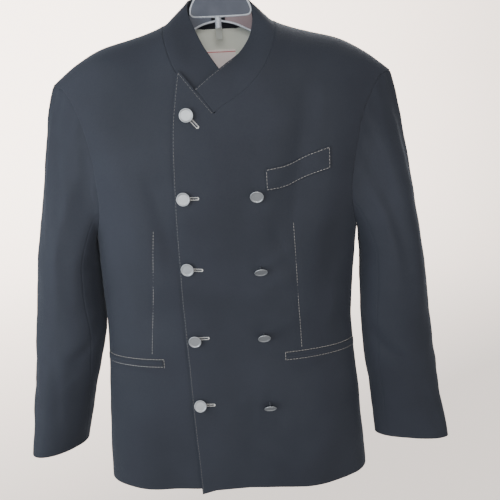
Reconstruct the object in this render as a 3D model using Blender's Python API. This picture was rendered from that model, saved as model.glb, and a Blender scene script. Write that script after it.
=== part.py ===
"""Double-breasted blazer with a stand collar, buttoned and hanging on its plastic hanger.

Every cloth piece is a wall on one of three forms: the body, the collar or a sleeve. A form turns two
coordinates into a point, so each piece is an outline in those coordinates, cut into a grid and given a wall.
The front faces -Y and the wearer's left is at +X. The origin is the point where the hook is held.
Sizes are in millimetres and become metres when a mesh is made.
"""
import math

import bmesh
import bpy
from mathutils import Matrix, Vector

MM = 0.001

# Cloth walls and seams
CLOTH = 2.0
FRONT_CLOTH = 2.4
COLLAR_CLOTH = 2.8
SEAM_GAP = 0.4
OVERLAP_LIFT = 4.5
LAID_GAP = 0.8

# The body form: its chest line, how square a level section is and how round the shoulder is
CHEST = -335.0
SQUARENESS = 2.5
SHOULDER_ROUND = 2.4
SIDE_SEAM = 82.0
BODY_COLUMNS = ("height", "half_width", "front_depth", "back_depth", "centre")
BODY = (
    (-880, 227, 75, 66, -8),
    (-800, 221, 74, 65, -8),
    (-725, 215, 72, 63, -9),
    (-650, 207, 69, 60, -9),
    (-580, 202.5, 68, 59, -9),
    (-510, 203, 70, 61, -8),
    (-430, 207, 75, 67, -5),
    (-335, 222, 78, 73, -2),
    (-200, 240, 78, 75, 0),
    (0, 262, 77, 75, 0),
)
RIDGE_COLUMNS = ("across", "height")
RIDGE = (
    (0, -75), (30, -84), (55, -101), (80, -120), (105, -130), (130, -137),
    (175, -149), (212, -168), (235, -184), (252, -197), (265, -208),
)

# The largest soft folds, each along a line: ridges lift the cloth and troughs sink it
FOLD_COLUMNS = ("start_x", "start_z", "end_x", "end_z", "width", "lift")
FRONT_FOLDS = (
    (128, -235, 76, -455, 28, -6),
    (92, -245, 42, -440, 26, 3),
    (168, -290, 122, -520, 26, 4.5),
    (-112, -330, -80, -475, 19, -6),
    (-182, -225, -128, -450, 28, 5),
    (22, -527, 98, -487, 17, 2.5),
    (18, -700, 14, -890, 30, -4),
    (112, -710, 122, -890, 36, 4),
    (-152, -700, -164, -890, 34, 4),
    (-108, -740, -104, -890, 24, -3.5),
)
BACK_FOLDS = (
    (-95, -200, -118, -430, 30, -6),
    (92, -205, 124, -440, 30, -6),
    (-66, -540, -76, -890, 36, 6),
    (72, -560, 64, -890, 36, 5),
    (0, -420, 4, -650, 42, -4),
    (-158, -640, -166, -890, 24, -5),
    (156, -660, 160, -890, 24, -5),
)
ARM_FOLD_COLUMNS = ("start_angle", "start_z", "end_angle", "end_z", "width", "lift")
ARM_FOLDS_LEFT = (
    (84, -255, 76, -500, 13, -4),
    (46, -270, 52, -600, 16, 3.5),
    (160, -585, 84, -655, 12, -4),
    (-70, -560, 0, -640, 15, -3),
    (-60, -300, -66, -520, 15, 3),
)
ARM_FOLDS_RIGHT = (
    (14, -235, 66, -430, 13, 4),
    (98, -300, 100, -540, 13, -4),
    (160, -560, 84, -640, 12, -4.5),
    (30, -560, 40, -760, 15, 3),
    (-70, -540, 0, -630, 15, -3),
)

# The armhole, from the shoulder point (0) round to the underarm (180), in front and behind
ARMHOLE_COLUMNS = ("turn", "front_out", "front_height", "back_out", "back_height")
ARMHOLE = (
    (0, 252, -197, 252, -197),
    (30, 230, -207, 234, -212),
    (60, 206, -252, 220, -258),
    (90, 193, -316, 211, -320),
    (120, 191, -376, 206, -378),
    (150, 199, -417, 205, -418),
    (180, 207, -430, 207, -430),
)
ARMHOLE_STEP = 7.5

# The neck: where the collar is sewn on, and its free edge above each of those points
NECK_COLUMNS = ("seam_x", "seam_height", "edge_x", "edge_y", "edge_height")
NECK_OVER = (
    (-11, -244, -38, -73, -212),
    (8, -231, -15, -71, -194),
    (27, -220, 0, -67, -184),
    (44, -206, 14, -59, -174),
    (59, -189, 27, -48, -165),
    (70, -170, 38, -34, -151),
    (78, -150, 46, -20, -136),
    (81, -134, 50, -8, -113),
    (80, -120, 48, 4, -92),
)
NECK_BACK = (
    (72, -123.5, 44, 20, -85),
    (50, -123.5, 34, 33, -81),
    (25, -122.5, 18, 41, -78),
    (0, -122, 0, 43, -77),
    (-25, -122.5, -18, 41, -78),
    (-50, -123.5, -33, 33, -81),
    (-72, -123.5, -44, 20, -85),
)
NECK_UNDER = (
    (-80, -120, -45, 4, -90),
    (-80, -134, -43, -9, -106),
    (-76, -150, -37, -21, -120),
    (-70, -169, -30, -32, -136),
    (-62, -186, -22, -43, -152),
    (-50, -202, -12, -53, -168),
    (-35, -216, -1, -60, -184),
    (-17, -228, 9, -64, -196),
)

# Front edges and hems, from the top down and from the edge round to the side
LAPEL_POINT = ((-38.5, -212.5), (-57, -187))
OVER_EDGE = (
    (-65, -224), (-71, -264), (-75, -340), (-77, -440), (-78, -520), (-76, -620), (-74, -720), (-71, -800),
)
OVER_HEM = ((-69, -868), (-45, -861), (11, -859), (62, -861), (105, -865), (147, -866))
UNDER_EDGE = ((-6, -236), (14, -250), (38, -262))
UNDER_HEM = ((38, -858), (-60, -860), (-110, -861), (-160, -863))
HEM = -865.0
STATION_SCALE = 1000.0

# Grid lines of the body form
FRONT_STEP, BACK_STEP, LINING_STEP = 5.0, 7.5, 7.5
HEIGHTS = (
    -830, -790, -750, -710, -672, -637, -619, -585, -550, -515, -480, -447, -415, -383,
    -352, -322, -292, -262, -232, -200, -165, -130, -95, -60, -30,
)

# Sleeves below the cap: level sections of the tube, its outer end turned forward and lifted
SLEEVE_COLUMNS = ("height", "centre_out", "centre_y", "half_width", "half_depth", "turn", "lift")
SLEEVE_LEFT = (
    (-465, 256, -4, 49, 58, 0, 8),
    (-520, 259.5, -6, 52.5, 56.5, 0, 7),
    (-580, 264.5, -9, 55.5, 52, 4, 6),
    (-640, 270.5, -12, 57, 45, 8, 5),
    (-700, 278.5, -15, 57.5, 37, 11, 4),
    (-760, 288, -18, 59.5, 28, 14, 3),
    (-806, 295.5, -20, 61.5, 20, 16, 3),
)
SLEEVE_RIGHT = (
    (-465, 259.5, -4, 47.5, 59, 0, 8),
    (-520, 264.5, -5, 50.5, 57.5, 0, 7),
    (-580, 271, -7, 54, 53, 8, 6),
    (-640, 282.5, -9, 53, 47, 18, 5),
    (-700, 296, -10, 51, 39, 30, 4),
    (-760, 308, -9, 51, 32, 38, 3),
    (-804, 317, -8, 52, 27, 42, 2),
)
SLEEVE_LEAN = 0.16
LEAVING_COLUMNS = ("turn", "reach", "tip")
LEAVING = ((0, 34, 0), (45, 45, 0), (90, 60, 0), (120, 42, 12), (150, 22, 55), (180, 12, 90))
CAP_ROWS = (0.05, 0.14, 0.28, 0.46, 0.7)
ARM_ROWS = (1.14, 1.28, 1.42, 1.56, 1.7, 1.85)
FRONT_SLEEVE_SEAM = 127.5
BACK_SLEEVE_SEAM = 97.5

# Pockets and the chest welt, on the fronts
POCKET_TOP_LEFT, POCKET_TOP_RIGHT = -619.0, -625.0
JET = 5.6
JET_CLOTH = 1.4
POCKET_START_LEFT, POCKET_START_RIGHT = 79.0, -117.0
POCKET_END = 79.5
CHEST_WELT = (
    (57, -325), (88, -319), (118, -308), (152, -298), (152, -330), (118, -340), (86, -352), (59, -356),
)

# Lining and label, inside the back of the neck
LINING_CLOTH, LABEL_CLOTH, LINING_GAP = 1.0, 1.0, 0.9
LINING_SIDE, LINING_DEPTH = 62.0, -262.0
LABEL_WIDTH, LABEL_TOP, LABEL_HEIGHT = 46.0, -152.0, 40.0

# Shank buttons: where each is sewn on, how far its face drops and how long its shank is
BUTTON_RADIUS, BUTTON_THICK, BUTTON_RIM, SHANK_RADIUS, BUTTON_SIDES = 10.0, 2.4, 1.5, 1.7, 12
BUTTON_COLUMNS = ("across", "height", "drop", "shank")
BUTTONS_CLOSING = (
    (-49, -246, 0, 3.4), (-62, -363, -6, 4.0), (-64, -471, 1, 3.4), (-62, -589, 7, 3.8),
    (-61, -702, -12, 4.6),
)
BUTTONS_ROW = ((44, -360, 26, 6.6), (44, -471, 40, 9.8), (45, -582, 36, 9.0), (50, -701, 43, 10.6))

# Hanger: a moulded plate with a rim, two arms under the shoulder ridge, a post and a wire hook
PLATE_X, PLATE_Y = 4.0, 0.0
PLATE_OUTLINE = ((-32, -111), (32, -111), (38, -108.5), (39.5, -103), (35, -93), (25, -78), (11, -66))
PLATE_THICK, RIM_RADIUS = 2.6, 2.0
ARM_RADIUS, ARM_REST, ARM_CLEAR = 5.0, (150, 178, 206), 1.28
ARM_ARCH = ((0, -120), (24, -124), (48, -137), (80, -144.5), (115, -147))
POST_TOP, POST_FOOT, POST_RADIUS = -112.0, -142.0, 3.6
WIRE_RADIUS, HOOK_RADIUS, STEM_FOOT = 1.9, 19.0, -64.0


def row_at(table, key):
    """The table's other columns at a key, on a smooth curve through its rows."""
    rows = sorted(table)
    last = len(rows) - 1
    i = min(max(sum(r[0] <= key for r in rows) - 1, 0), last - 1)
    low, high = rows[i], rows[i + 1]
    before, after = rows[max(i - 1, 0)], rows[min(i + 2, last)]
    span = high[0] - low[0]
    t = (key - low[0]) / span
    found = []
    for column in range(1, len(low)):
        start = (high[column] - before[column]) / (high[0] - before[0]) * span
        end = (after[column] - low[column]) / (after[0] - low[0]) * span
        found.append(
            (2 * t**3 - 3 * t**2 + 1) * low[column] + (t**3 - 2 * t**2 + t) * start
            + (3 * t**2 - 2 * t**3) * high[column] + (t**3 - t**2) * end
        )
    return found


def ridge(x):
    """Height of the shoulder ridge at a distance from the centre."""
    return row_at(RIDGE, abs(x))[0]


def fold_at(folds, across, along):
    """How far a table of folds lifts the cloth at a place. Each fold fades out past its two ends."""
    lift = 0.0
    for x0, z0, x1, z1, width, height in folds:
        run_x, run_z = x1 - x0, z1 - z0
        length = math.hypot(run_x, run_z)
        share = ((across - x0) * run_x + (along - z0) * run_z) / length**2
        aside = ((across - x0) * run_z - (along - z0) * run_x) / length
        lift += height * math.exp(-((aside / width) ** 2) - ((share - 0.5) / 0.5) ** 4)
    return lift


def body_bare(turn, height):
    """A point of the body form. turn runs from the centre front (0) by the side (90) to the back (180)."""
    half_width, front, back, centre = row_at(BODY, height)
    sine = math.sin(math.radians(turn))
    x = centre + half_width * sine
    z, round_off = height, 1.0
    if height > CHEST:
        climb = math.sin(min(1.0, (height - CHEST) / -CHEST) * math.pi / 2)
        z = CHEST + (ridge(x) - CHEST) * climb
        round_off = math.sqrt(max(0.0, 1 - climb**SHOULDER_ROUND))
    flat = max(0.0, 1 - abs(sine) ** SQUARENESS) ** (1 / SQUARENESS)
    facing = math.cos(math.radians(turn)) >= 0
    depth = (front if facing else back) * round_off + fold_at(FRONT_FOLDS if facing else BACK_FOLDS, x, z)
    return Vector((x, depth * flat * (-1 if facing else 1), z))


def normal_of(form, u, v, du, dv, v_top=math.inf):
    """The outward direction of a form at two coordinates."""
    along = form(u + du, v) - form(u - du, v)
    up = form(u, min(v + dv, v_top)) - form(u, v - dv)
    return along.cross(up).normalized()


def body_normal(turn, height):
    """The outward direction of the body form."""
    return normal_of(body_bare, turn, height, 0.1, 0.4, 0.0)


def body(turn, height, lift=0.0):
    """A point of the body form, moved out by lift."""
    return body_bare(turn, height) + body_normal(turn, height) * lift


def chart(x, z, back=False):
    """The body form's coordinates of a point seen from the front, or from behind."""
    height = z
    if z > CHEST:
        climb = min(1.0, (z - CHEST) / (ridge(x) - CHEST))
        height = CHEST - CHEST * math.asin(climb) * 2 / math.pi
    half_width, _, _, centre = row_at(BODY, height)
    turn = math.degrees(math.asin(max(-1.0, min(1.0, (x - centre) / half_width))))
    if back:
        turn = math.copysign(180, x if x else 1) - turn
    return turn, height


def over_lift(turn, height):
    """How far the overlapping front lies off the body form: it eases off to the side and the shoulder."""
    ease = min(1.0, max(0.0, (abs(turn) - 22) / 38)) if turn > 0 else 0.0
    ease = ease * ease * (3 - 2 * ease)
    climb = min(1.0, max(0.0, (height + 140) / 140))
    return OVERLAP_LIFT * (1 - ease) * (1 - climb * climb * (3 - 2 * climb))


def shoulder_line(turn):
    """The form's height coordinate half a seam gap in front of or behind the ridge."""
    half_width, front, back, _ = row_at(BODY, 0)
    flat = (1 - abs(math.sin(math.radians(turn))) ** SQUARENESS) ** (1 / SQUARENESS)
    depth = (front if math.cos(math.radians(turn)) > 0 else back) * flat
    climb = (1 - (SEAM_GAP / 2 / depth) ** 2) ** (1 / SHOULDER_ROUND)
    return CHEST - CHEST * math.asin(climb) * 2 / math.pi


def armhole(side, angle, back=False):
    """Body coordinates of the armhole, from the shoulder point (0) to the underarm (180)."""
    front_out, front_height, back_out, back_height = row_at(ARMHOLE, angle)
    out, z = (back_out, back_height) if back else (front_out, front_height)
    _, height = chart(side * out, z)
    centre = row_at(BODY, height)[3]
    return chart(side * out + centre, z, back)


def armhole_run(side, back=False):
    """Armhole points from the underarm up towards the shoulder point, with both ends left out."""
    count = round(180 / ARMHOLE_STEP)
    return [armhole(side, ARMHOLE_STEP * i, back) for i in range(count - 1, 0, -1)]


def side_join(side, turn):
    """Where the side seam's line meets the armhole, as unsigned body coordinates."""
    run = [(abs(u), v) for u, v in [armhole(side, 180)] + armhole_run(side)]
    for (u0, v0), (u1, v1) in zip(run, run[1:]):
        if u0 >= turn >= u1:
            return turn, v0 + (v1 - v0) * (u0 - turn) / (u0 - u1)
    return run[0]


def shoulder_run(first, last, count=9):
    """Points along the shoulder seam between two turns."""
    turns = [first + (last - first) * i / count for i in range(count + 1)]
    return [(turn, shoulder_line(turn)) for turn in turns]


def thicken(name, outline, columns, rows, outer, inner, material, scale=1.0):
    """A cloth wall: the outline as one face, cut along the grid lines, extruded, then laid on the form."""
    bm = bmesh.new()
    bm.faces.new([bm.verts.new((u * scale, v, 0)) for u, v in outline])
    for axis, lines in ((0, [c * scale for c in columns]), (1, rows)):
        for line in lines:
            normal, point = [0, 0, 0], [0, 0, 0]
            normal[axis], point[axis] = 1, line
            whole = bm.verts[:] + bm.edges[:] + bm.faces[:]
            bmesh.ops.bisect_plane(bm, geom=whole, dist=0.05, plane_co=point, plane_no=normal)
    flat = [(v, v.co.x / scale, v.co.y) for v in bm.verts]
    grown = bmesh.ops.extrude_face_region(bm, geom=bm.faces[:], use_keep_orig=True)
    inside = [(v, v.co.x / scale, v.co.y) for v in grown["geom"] if isinstance(v, bmesh.types.BMVert)]
    for vert, u, v in flat:
        vert.co = outer(u, v) * MM
    for vert, u, v in inside:
        vert.co = inner(u, v) * MM
    bmesh.ops.recalc_face_normals(bm, faces=bm.faces[:])
    return finished(name, bm, material)


def finished(name, bm, material, smooth=True):
    """An object from a bmesh, in the blazer's collection."""
    mesh = bpy.data.meshes.new(name)
    bm.to_mesh(mesh)
    bm.free()
    piece = bpy.data.objects.new(name, mesh)
    piece.data.materials.append(material)
    BLAZER.objects.link(piece)
    if smooth:
        mesh.shade_smooth()
        mesh.set_sharp_from_angle(angle=math.radians(40))
    return piece


def body_panel(name, outline, step, lift, wall, material):
    """A panel on the body form, lifted by a function of its coordinates."""
    turns = [u for u, _ in outline]
    columns = [i * step for i in range(math.ceil(min(turns) / step), int(max(turns) // step) + 1)]
    return thicken(
        name, outline, columns, HEIGHTS,
        lambda u, v: body(u, v, lift(u, v)),
        lambda u, v: body(u, v, lift(u, v) - wall),
        material,
    )


def level(_turn, _height):
    """No lift: the panel lies on the form itself."""
    return 0.0


def dense(stations, parts=2):
    """The rows of a table with smooth ones set between them."""
    keyed = [(i, *row) for i, row in enumerate(stations)]
    return [row_at(keyed, i / parts) for i in range(parts * (len(stations) - 1) + 1)]


def neck_tables():
    """The neck stations of the overlapping front, the back and the front under it, made dense."""
    back = dense((NECK_OVER[-1], *NECK_BACK, NECK_UNDER[0]))
    return dense(NECK_OVER), back, dense(NECK_UNDER)


def neck_run(stations, back=False):
    """Body coordinates of the neck seam."""
    return [chart(x, z, back) for x, z, *_ in stations]


def make_fronts(material):
    """The overlapping front, on the wearer's left, and the front under it."""
    seam = SIDE_SEAM - SEAM_GAP / 3.6
    over_neck, _, under_neck = neck_tables()
    for side, name in ((1, "front_overlapping"), (-1, "front_under")):
        neck = over_neck[::-1] if side > 0 else under_neck
        hem = OVER_HEM if side > 0 else UNDER_HEM
        edge = LAPEL_POINT + OVER_EDGE if side > 0 else UNDER_EDGE
        join_at = side_join(side, seam)
        outline = [chart(x, z) for x, z in hem] + [(side * seam, HEM), (side * seam, join_at[1])]
        outline += [(u, v) for u, v in armhole_run(side) if abs(u) < seam - 0.3]
        outline += shoulder_run(armhole(side, 0)[0], chart(*neck[0][:2])[0])
        outline += neck_run(neck[1:]) + [chart(x, z) for x, z in edge]
        lift = over_lift if side > 0 else level
        body_panel(name, outline[::side], FRONT_STEP, lift, FRONT_CLOTH, material)


def make_backs(material):
    """Two back panels, which meet at the centre seam and reach round to the side seams."""
    seam = SIDE_SEAM + SEAM_GAP / 3.6
    centre = 180 - SEAM_GAP / 7
    for side, name in ((1, "back_left"), (-1, "back_right")):
        stations = neck_tables()[1][::side]
        neck = [(abs(u), v) for u, v in neck_run(stations, True)][1:len(stations) // 2]
        outline = [(centre, HEM + 4), (150, HEM + 2), (120, HEM), (seam, HEM), side_join(side, seam)]
        outline += [(abs(u), v) for u, v in armhole_run(side)[::-1] if abs(u) > seam + 0.3]
        outline += [(abs(u), v) for u, v in [armhole(side, 180)] + armhole_run(side, True)]
        outline += shoulder_run(abs(armhole(side, 0, True)[0]), abs(chart(*stations[0][:2], True)[0]))
        outline += neck + [(centre, chart(0, NECK_BACK[len(NECK_BACK) // 2][1], True)[1])]
        body_panel(name, [(side * u, v) for u, v in outline][::side], BACK_STEP, level, CLOTH, material)


def leaving(begin, leave, end, arrive, t):
    """A point on the curve that starts along one vector and ends along another."""
    return (
        begin * (2 * t**3 - 3 * t**2 + 1) + leave * (t**3 - 2 * t**2 + t)
        + end * (3 * t**2 - 2 * t**3) + arrive * (t**3 - t**2)
    )


def between(first, last, part):
    """Body coordinates part of the way between two pairs, taken the short way round."""
    turn = last[0]
    if abs(turn - first[0]) > 180:
        turn += math.copysign(360, first[0])
    return first[0] + (turn - first[0]) * part, first[1] + (last[1] - first[1]) * part


class Collar:
    """The stand collar as a form: along it by neck station, across it from the seam (0) to the edge (1)."""

    def __init__(self):
        self.spans = []
        for stations, back in zip(neck_tables(), (False, True, False)):
            for first, last in zip(stations, stations[1:]):
                ends = [chart(row[0], row[1], back) for row in (first, last)]
                free = [Vector(row[2:5]) for row in (first, last)]
                self.spans.append((ends, free))
        self.over_count = 2 * (len(NECK_OVER) - 1)
        self.count = len(self.spans)

    def seam(self, position):
        """The panel's edge point under a station, with the body's outward direction there."""
        i = min(max(int(position), 0), self.count - 1)
        turn, height = between(*self.spans[i][0], position - i)
        height = min(height, -0.4)
        lift = over_lift(turn, height) if i < self.over_count else 0.0
        return body(turn, height, lift), body_normal(turn, height)

    def point(self, position, across):
        """A point of the collar's outer side: it leaves along the panel and turns up to its free edge."""
        i = min(max(int(position), 0), self.count - 1)
        free = self.spans[i][1][0].lerp(self.spans[i][1][1], position - i)
        start, out = self.seam(position)
        low, high = max(0.0, position - 0.3), min(float(self.count), position + 0.3)
        away = out.cross(self.seam(high)[0] - self.seam(low)[0]).normalized()
        start = start + away * SEAM_GAP * 2
        reach = free - start
        return leaving(start, away * reach.length * 0.7, free, reach * 1.05, across)

    def inner(self, position, across):
        """The same point on the inner side."""
        low, high = max(0.0, position - 0.5), min(float(self.count), position + 0.5)
        along = self.point(high, across) - self.point(low, across)
        low, high = max(0.0, across - 0.02), min(1.0, across + 0.02)
        up = self.point(position, high) - self.point(position, low)
        return self.point(position, across) - along.cross(up).normalized() * COLLAR_CLOTH

    def make(self, material):
        """The collar's solid."""
        end = self.count
        outline = [(0.16, 0), (end, 0), (end, 1), (0.16, 1)]
        rows = (0.12, 0.3, 0.62)
        thicken("collar", outline, range(1, end), rows, self.point, self.inner, material, STATION_SCALE)


class Sleeve:
    """A set-in sleeve as a form: round it by angle, 0 outside and 90 in front, and along it by position.

    Positions from 0 to 1 are the cap, which leaves the armhole, and from 1 to 2 the arm down to the cuff.
    """

    def __init__(self, side, sections, folds):
        self.side = side
        self.sections = sections
        self.folds = folds
        self.top, self.foot = sections[0][0], sections[-1][0]

    def section(self, angle, height):
        """A point of the arm's tube."""
        out, y, half_width, half_depth, turn, lift = row_at(self.sections, height)
        c, s = math.cos(math.radians(angle)), math.sin(math.radians(angle))
        ct, st = math.cos(math.radians(turn)), math.sin(math.radians(turn))
        x = out + half_width * c * ct - half_depth * s * st
        return Vector((self.side * x, y - half_width * c * st - half_depth * s * ct, height + lift * c))

    def edge(self, angle):
        """The armhole point that an angle starts from, and the body's outward direction there."""
        wrapped = (angle + 180) % 360 - 180
        back, size = wrapped < 0, abs(wrapped)
        low = min(math.floor(size / ARMHOLE_STEP) * ARMHOLE_STEP, 180 - ARMHOLE_STEP)
        ends = [armhole(self.side, node, back) for node in (low, low + ARMHOLE_STEP)]
        turn, height = between(*ends, (size - low) / ARMHOLE_STEP)
        height = min(height, -0.4)
        lift = over_lift(turn, height)
        return body(turn, height, lift), body_normal(turn, height)

    def point(self, angle, position):
        """A point of the sleeve's outer side, with its folds, which fade out at the armhole."""
        bare = self.bare(angle, position)
        lift = fold_at(self.folds, angle, bare.z) * min(1.0, position / 0.3)
        turned = math.radians(angle)
        return bare + Vector((self.side * math.cos(turned), -math.sin(turned), 0)) * lift

    def bare(self, angle, position):
        """A point of the sleeve's outer side without its folds."""
        if position >= 1:
            return self.section(angle, self.top + (self.foot - self.top) * (position - 1))
        begin, out = self.edge(angle)
        along = self.edge(angle + 1.5)[0] - self.edge(angle - 1.5)[0]
        away = out.cross(along).normalized() * self.side
        size = abs((angle + 180) % 360 - 180)
        leave, tip = row_at(LEAVING, size)
        tip = math.radians(tip)
        way = away * math.cos(tip) + out * math.sin(tip)
        end = self.section(angle, self.top)
        arrive = Vector((self.side * SLEEVE_LEAN, 0, -1)).normalized() * (end - begin).length * 0.9
        return leaving(begin + way * SEAM_GAP * 1.6, way * leave, end, arrive, position)

    def inner(self, angle, position):
        """The same point on the inner side."""
        along = self.point(angle + 1.5, position) - self.point(angle - 1.5, position)
        down = self.point(angle, min(2.0, position + 0.01)) - self.point(angle, max(0.0, position - 0.01))
        return self.point(angle, position) - along.cross(down).normalized() * self.side * CLOTH

    def make(self, name, material):
        """The top sleeve, which goes round outside, and the under sleeve, beside the body."""
        gap = 0.2
        front, back = FRONT_SLEEVE_SEAM, BACK_SLEEVE_SEAM
        spans = (("top", gap - back, front - gap), ("under", front + gap, 360 - back - gap))
        for part, first, last in spans:
            columns = [i * ARMHOLE_STEP for i in range(-12, 48) if first + 1 < i * ARMHOLE_STEP < last - 1]
            outline = [(first, 0), (last, 0), (last, 2), (first, 2)]
            rows = CAP_ROWS + (1.0,) + ARM_ROWS
            thicken(f"{name}_{part}", outline, columns, rows, self.point, self.inner, material)


def make_pockets(material):
    """Two jets at each hip pocket, and the chest welt on the overlapping front."""
    for side, start, top, name, base in (
        (1, POCKET_START_LEFT, POCKET_TOP_LEFT, "pocket_left", over_lift),
        (-1, POCKET_START_RIGHT, POCKET_TOP_RIGHT, "pocket_right", level),
    ):
        first, last = chart(start, top)[0], side * POCKET_END
        for part, high in (("upper_jet", top), ("lower_jet", top - JET - SEAM_GAP)):
            outline = [(first, high - JET), (last, high - JET), (last, high), (first, high)]
            lay_on(f"{name}_{part}", outline, base, JET_CLOTH, material)
    lay_on("chest_welt", [chart(x, z) for x, z in CHEST_WELT[::-1]], over_lift, JET_CLOTH, material)


def lay_on(name, outline, base, wall, material):
    """A small piece that lies on a panel, a small gap above it."""
    turns = [u for u, _ in outline]
    marks = [i * FRONT_STEP for i in range(-18, 19)]
    columns = [mark for mark in marks if min(turns) + 1 < mark < max(turns) - 1]
    return thicken(
        name, outline, columns, HEIGHTS,
        lambda u, v: body(u, v, base(u, v) + LAID_GAP + wall),
        lambda u, v: body(u, v, base(u, v) + LAID_GAP),
        material,
    )


def make_neck_lining(lining, label):
    """The lining that shows through the neck, against the back panels, and the label sewn to it."""
    outer_depth = -CLOTH - LINING_GAP
    top = [chart(x, z - 1.5, True) for x, z in ((62, -124.5), (50, -123.5), (25, -122.5), (0, -122))]
    top += [(360 - u, v) for u, v in top[-2::-1]]
    low = [chart(x, LINING_DEPTH, True)[0] for x in (LINING_SIDE + 8, 0)]
    outline = [(360 - low[0], LINING_DEPTH), (180, LINING_DEPTH - 8), (low[0], LINING_DEPTH)] + top
    thicken(
        "neck_lining", outline, [LINING_STEP * i for i in range(19, 30)], HEIGHTS,
        lambda u, v: body(u, v, outer_depth), lambda u, v: body(u, v, outer_depth - LINING_CLOTH), lining,
    )
    label_depth = outer_depth - LINING_CLOTH - LINING_GAP
    half = LABEL_WIDTH / 2
    foot = LABEL_TOP - LABEL_HEIGHT
    outline = []
    for x, z in ((half, LABEL_TOP), (-half, LABEL_TOP), (-half, foot), (half, foot)):
        turn, height = chart(abs(x), z, True)
        outline.append((turn if x > 0 else 360 - turn, height))
    thicken(
        "neck_label", outline, (), (),
        lambda u, v: body(u, v, label_depth), lambda u, v: body(u, v, label_depth - LABEL_CLOTH), label,
    )


def lathe(name, profile, steps, material):
    """A turned piece: a closed profile of (radius, height) points spun round Z."""
    bm = bmesh.new()
    points = [bm.verts.new((radius * MM, 0, height * MM)) for radius, height in profile]
    edges = [bm.edges.new(pair) for pair in zip(points, points[1:])]
    bmesh.ops.spin(
        bm, geom=points + edges, cent=(0, 0, 0), axis=(0, 0, 1), angle=math.tau, steps=steps, use_merge=True
    )
    bmesh.ops.remove_doubles(bm, verts=bm.verts[:], dist=1e-6)
    bmesh.ops.recalc_face_normals(bm, faces=bm.faces[:])
    return finished(name, bm, material)


def make_buttons(material):
    """Nine shank buttons: five that close the front, and four in the second row, which droop."""
    for group, table in (("closing", BUTTONS_CLOSING), ("row", BUTTONS_ROW)):
        for number, (x, z, drop, shank) in enumerate(table, 1):
            turn, height = chart(x, z)
            seat = body(turn, height, over_lift(turn, height))
            out = body_normal(turn, height)
            tilt = Matrix.Rotation(math.radians(drop), 3, (1, 0, 0))
            axis = tilt @ out
            dropped = math.radians(abs(drop))
            clear = (SEAM_GAP + SHANK_RADIUS * math.sin(dropped)) / math.cos(dropped)
            radius, back, face = BUTTON_RADIUS, shank, shank + BUTTON_THICK
            profile = (
                (0, clear), (SHANK_RADIUS, clear), (SHANK_RADIUS, back), (radius - 1.6, back),
                (radius, back + 0.9), (radius, face - 0.4), (radius - 0.6, face),
                (radius - BUTTON_RIM, face), (radius - BUTTON_RIM - 0.5, face - 0.6), (0, face - 0.6),
            )
            button = lathe(f"button_{group}_{number}", profile, BUTTON_SIDES, material)
            button.matrix_world = Matrix.LocRotScale(seat * MM, axis.to_track_quat("Z", "Y"), None)


def tube(name, points, radius, material, resolution=2, closed=False):
    """A round bar along points, as a curve with a bevel and filled caps."""
    curve = bpy.data.curves.new(name, "CURVE")
    curve.dimensions = "3D"
    curve.bevel_depth = radius * MM
    curve.bevel_resolution = resolution
    curve.use_fill_caps = not closed
    spline = curve.splines.new("POLY")
    spline.points.add(len(points) - 1)
    for node, point in zip(spline.points, points):
        node.co = (*(Vector(point) * MM), 1)
    spline.use_cyclic_u = closed
    piece = bpy.data.objects.new(name, curve)
    piece.data.materials.append(material)
    BLAZER.objects.link(piece)
    return piece


def as_mesh(piece):
    """The curve as a closed mesh object of the same name."""
    name = piece.name
    bpy.context.view_layer.update()
    mesh = bpy.data.meshes.new_from_object(piece.evaluated_get(bpy.context.evaluated_depsgraph_get()))
    bm = bmesh.new()
    bm.from_mesh(mesh)
    bmesh.ops.remove_doubles(bm, verts=bm.verts[:], dist=1e-6)
    bmesh.ops.recalc_face_normals(bm, faces=bm.faces[:])
    bm.to_mesh(mesh)
    bm.free()
    made = bpy.data.objects.new(name + "_mesh", mesh)
    made.matrix_world = piece.matrix_world
    BLAZER.objects.link(made)
    bpy.data.objects.remove(piece)
    return made


def rounded(points, passes=2, closed=False):
    """A polyline with its corners cut, so that it bends softly."""
    for _ in range(passes):
        pairs = list(zip(points, points[1:] + (points[:1] if closed else [])))
        if not closed:
            pairs = pairs[:len(points) - 1]
        cut = [point for a, b in pairs for point in (a.lerp(b, 0.25), a.lerp(b, 0.75))]
        points = cut if closed else [points[0]] + cut[1:-1] + [points[-1]]
    return points


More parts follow.
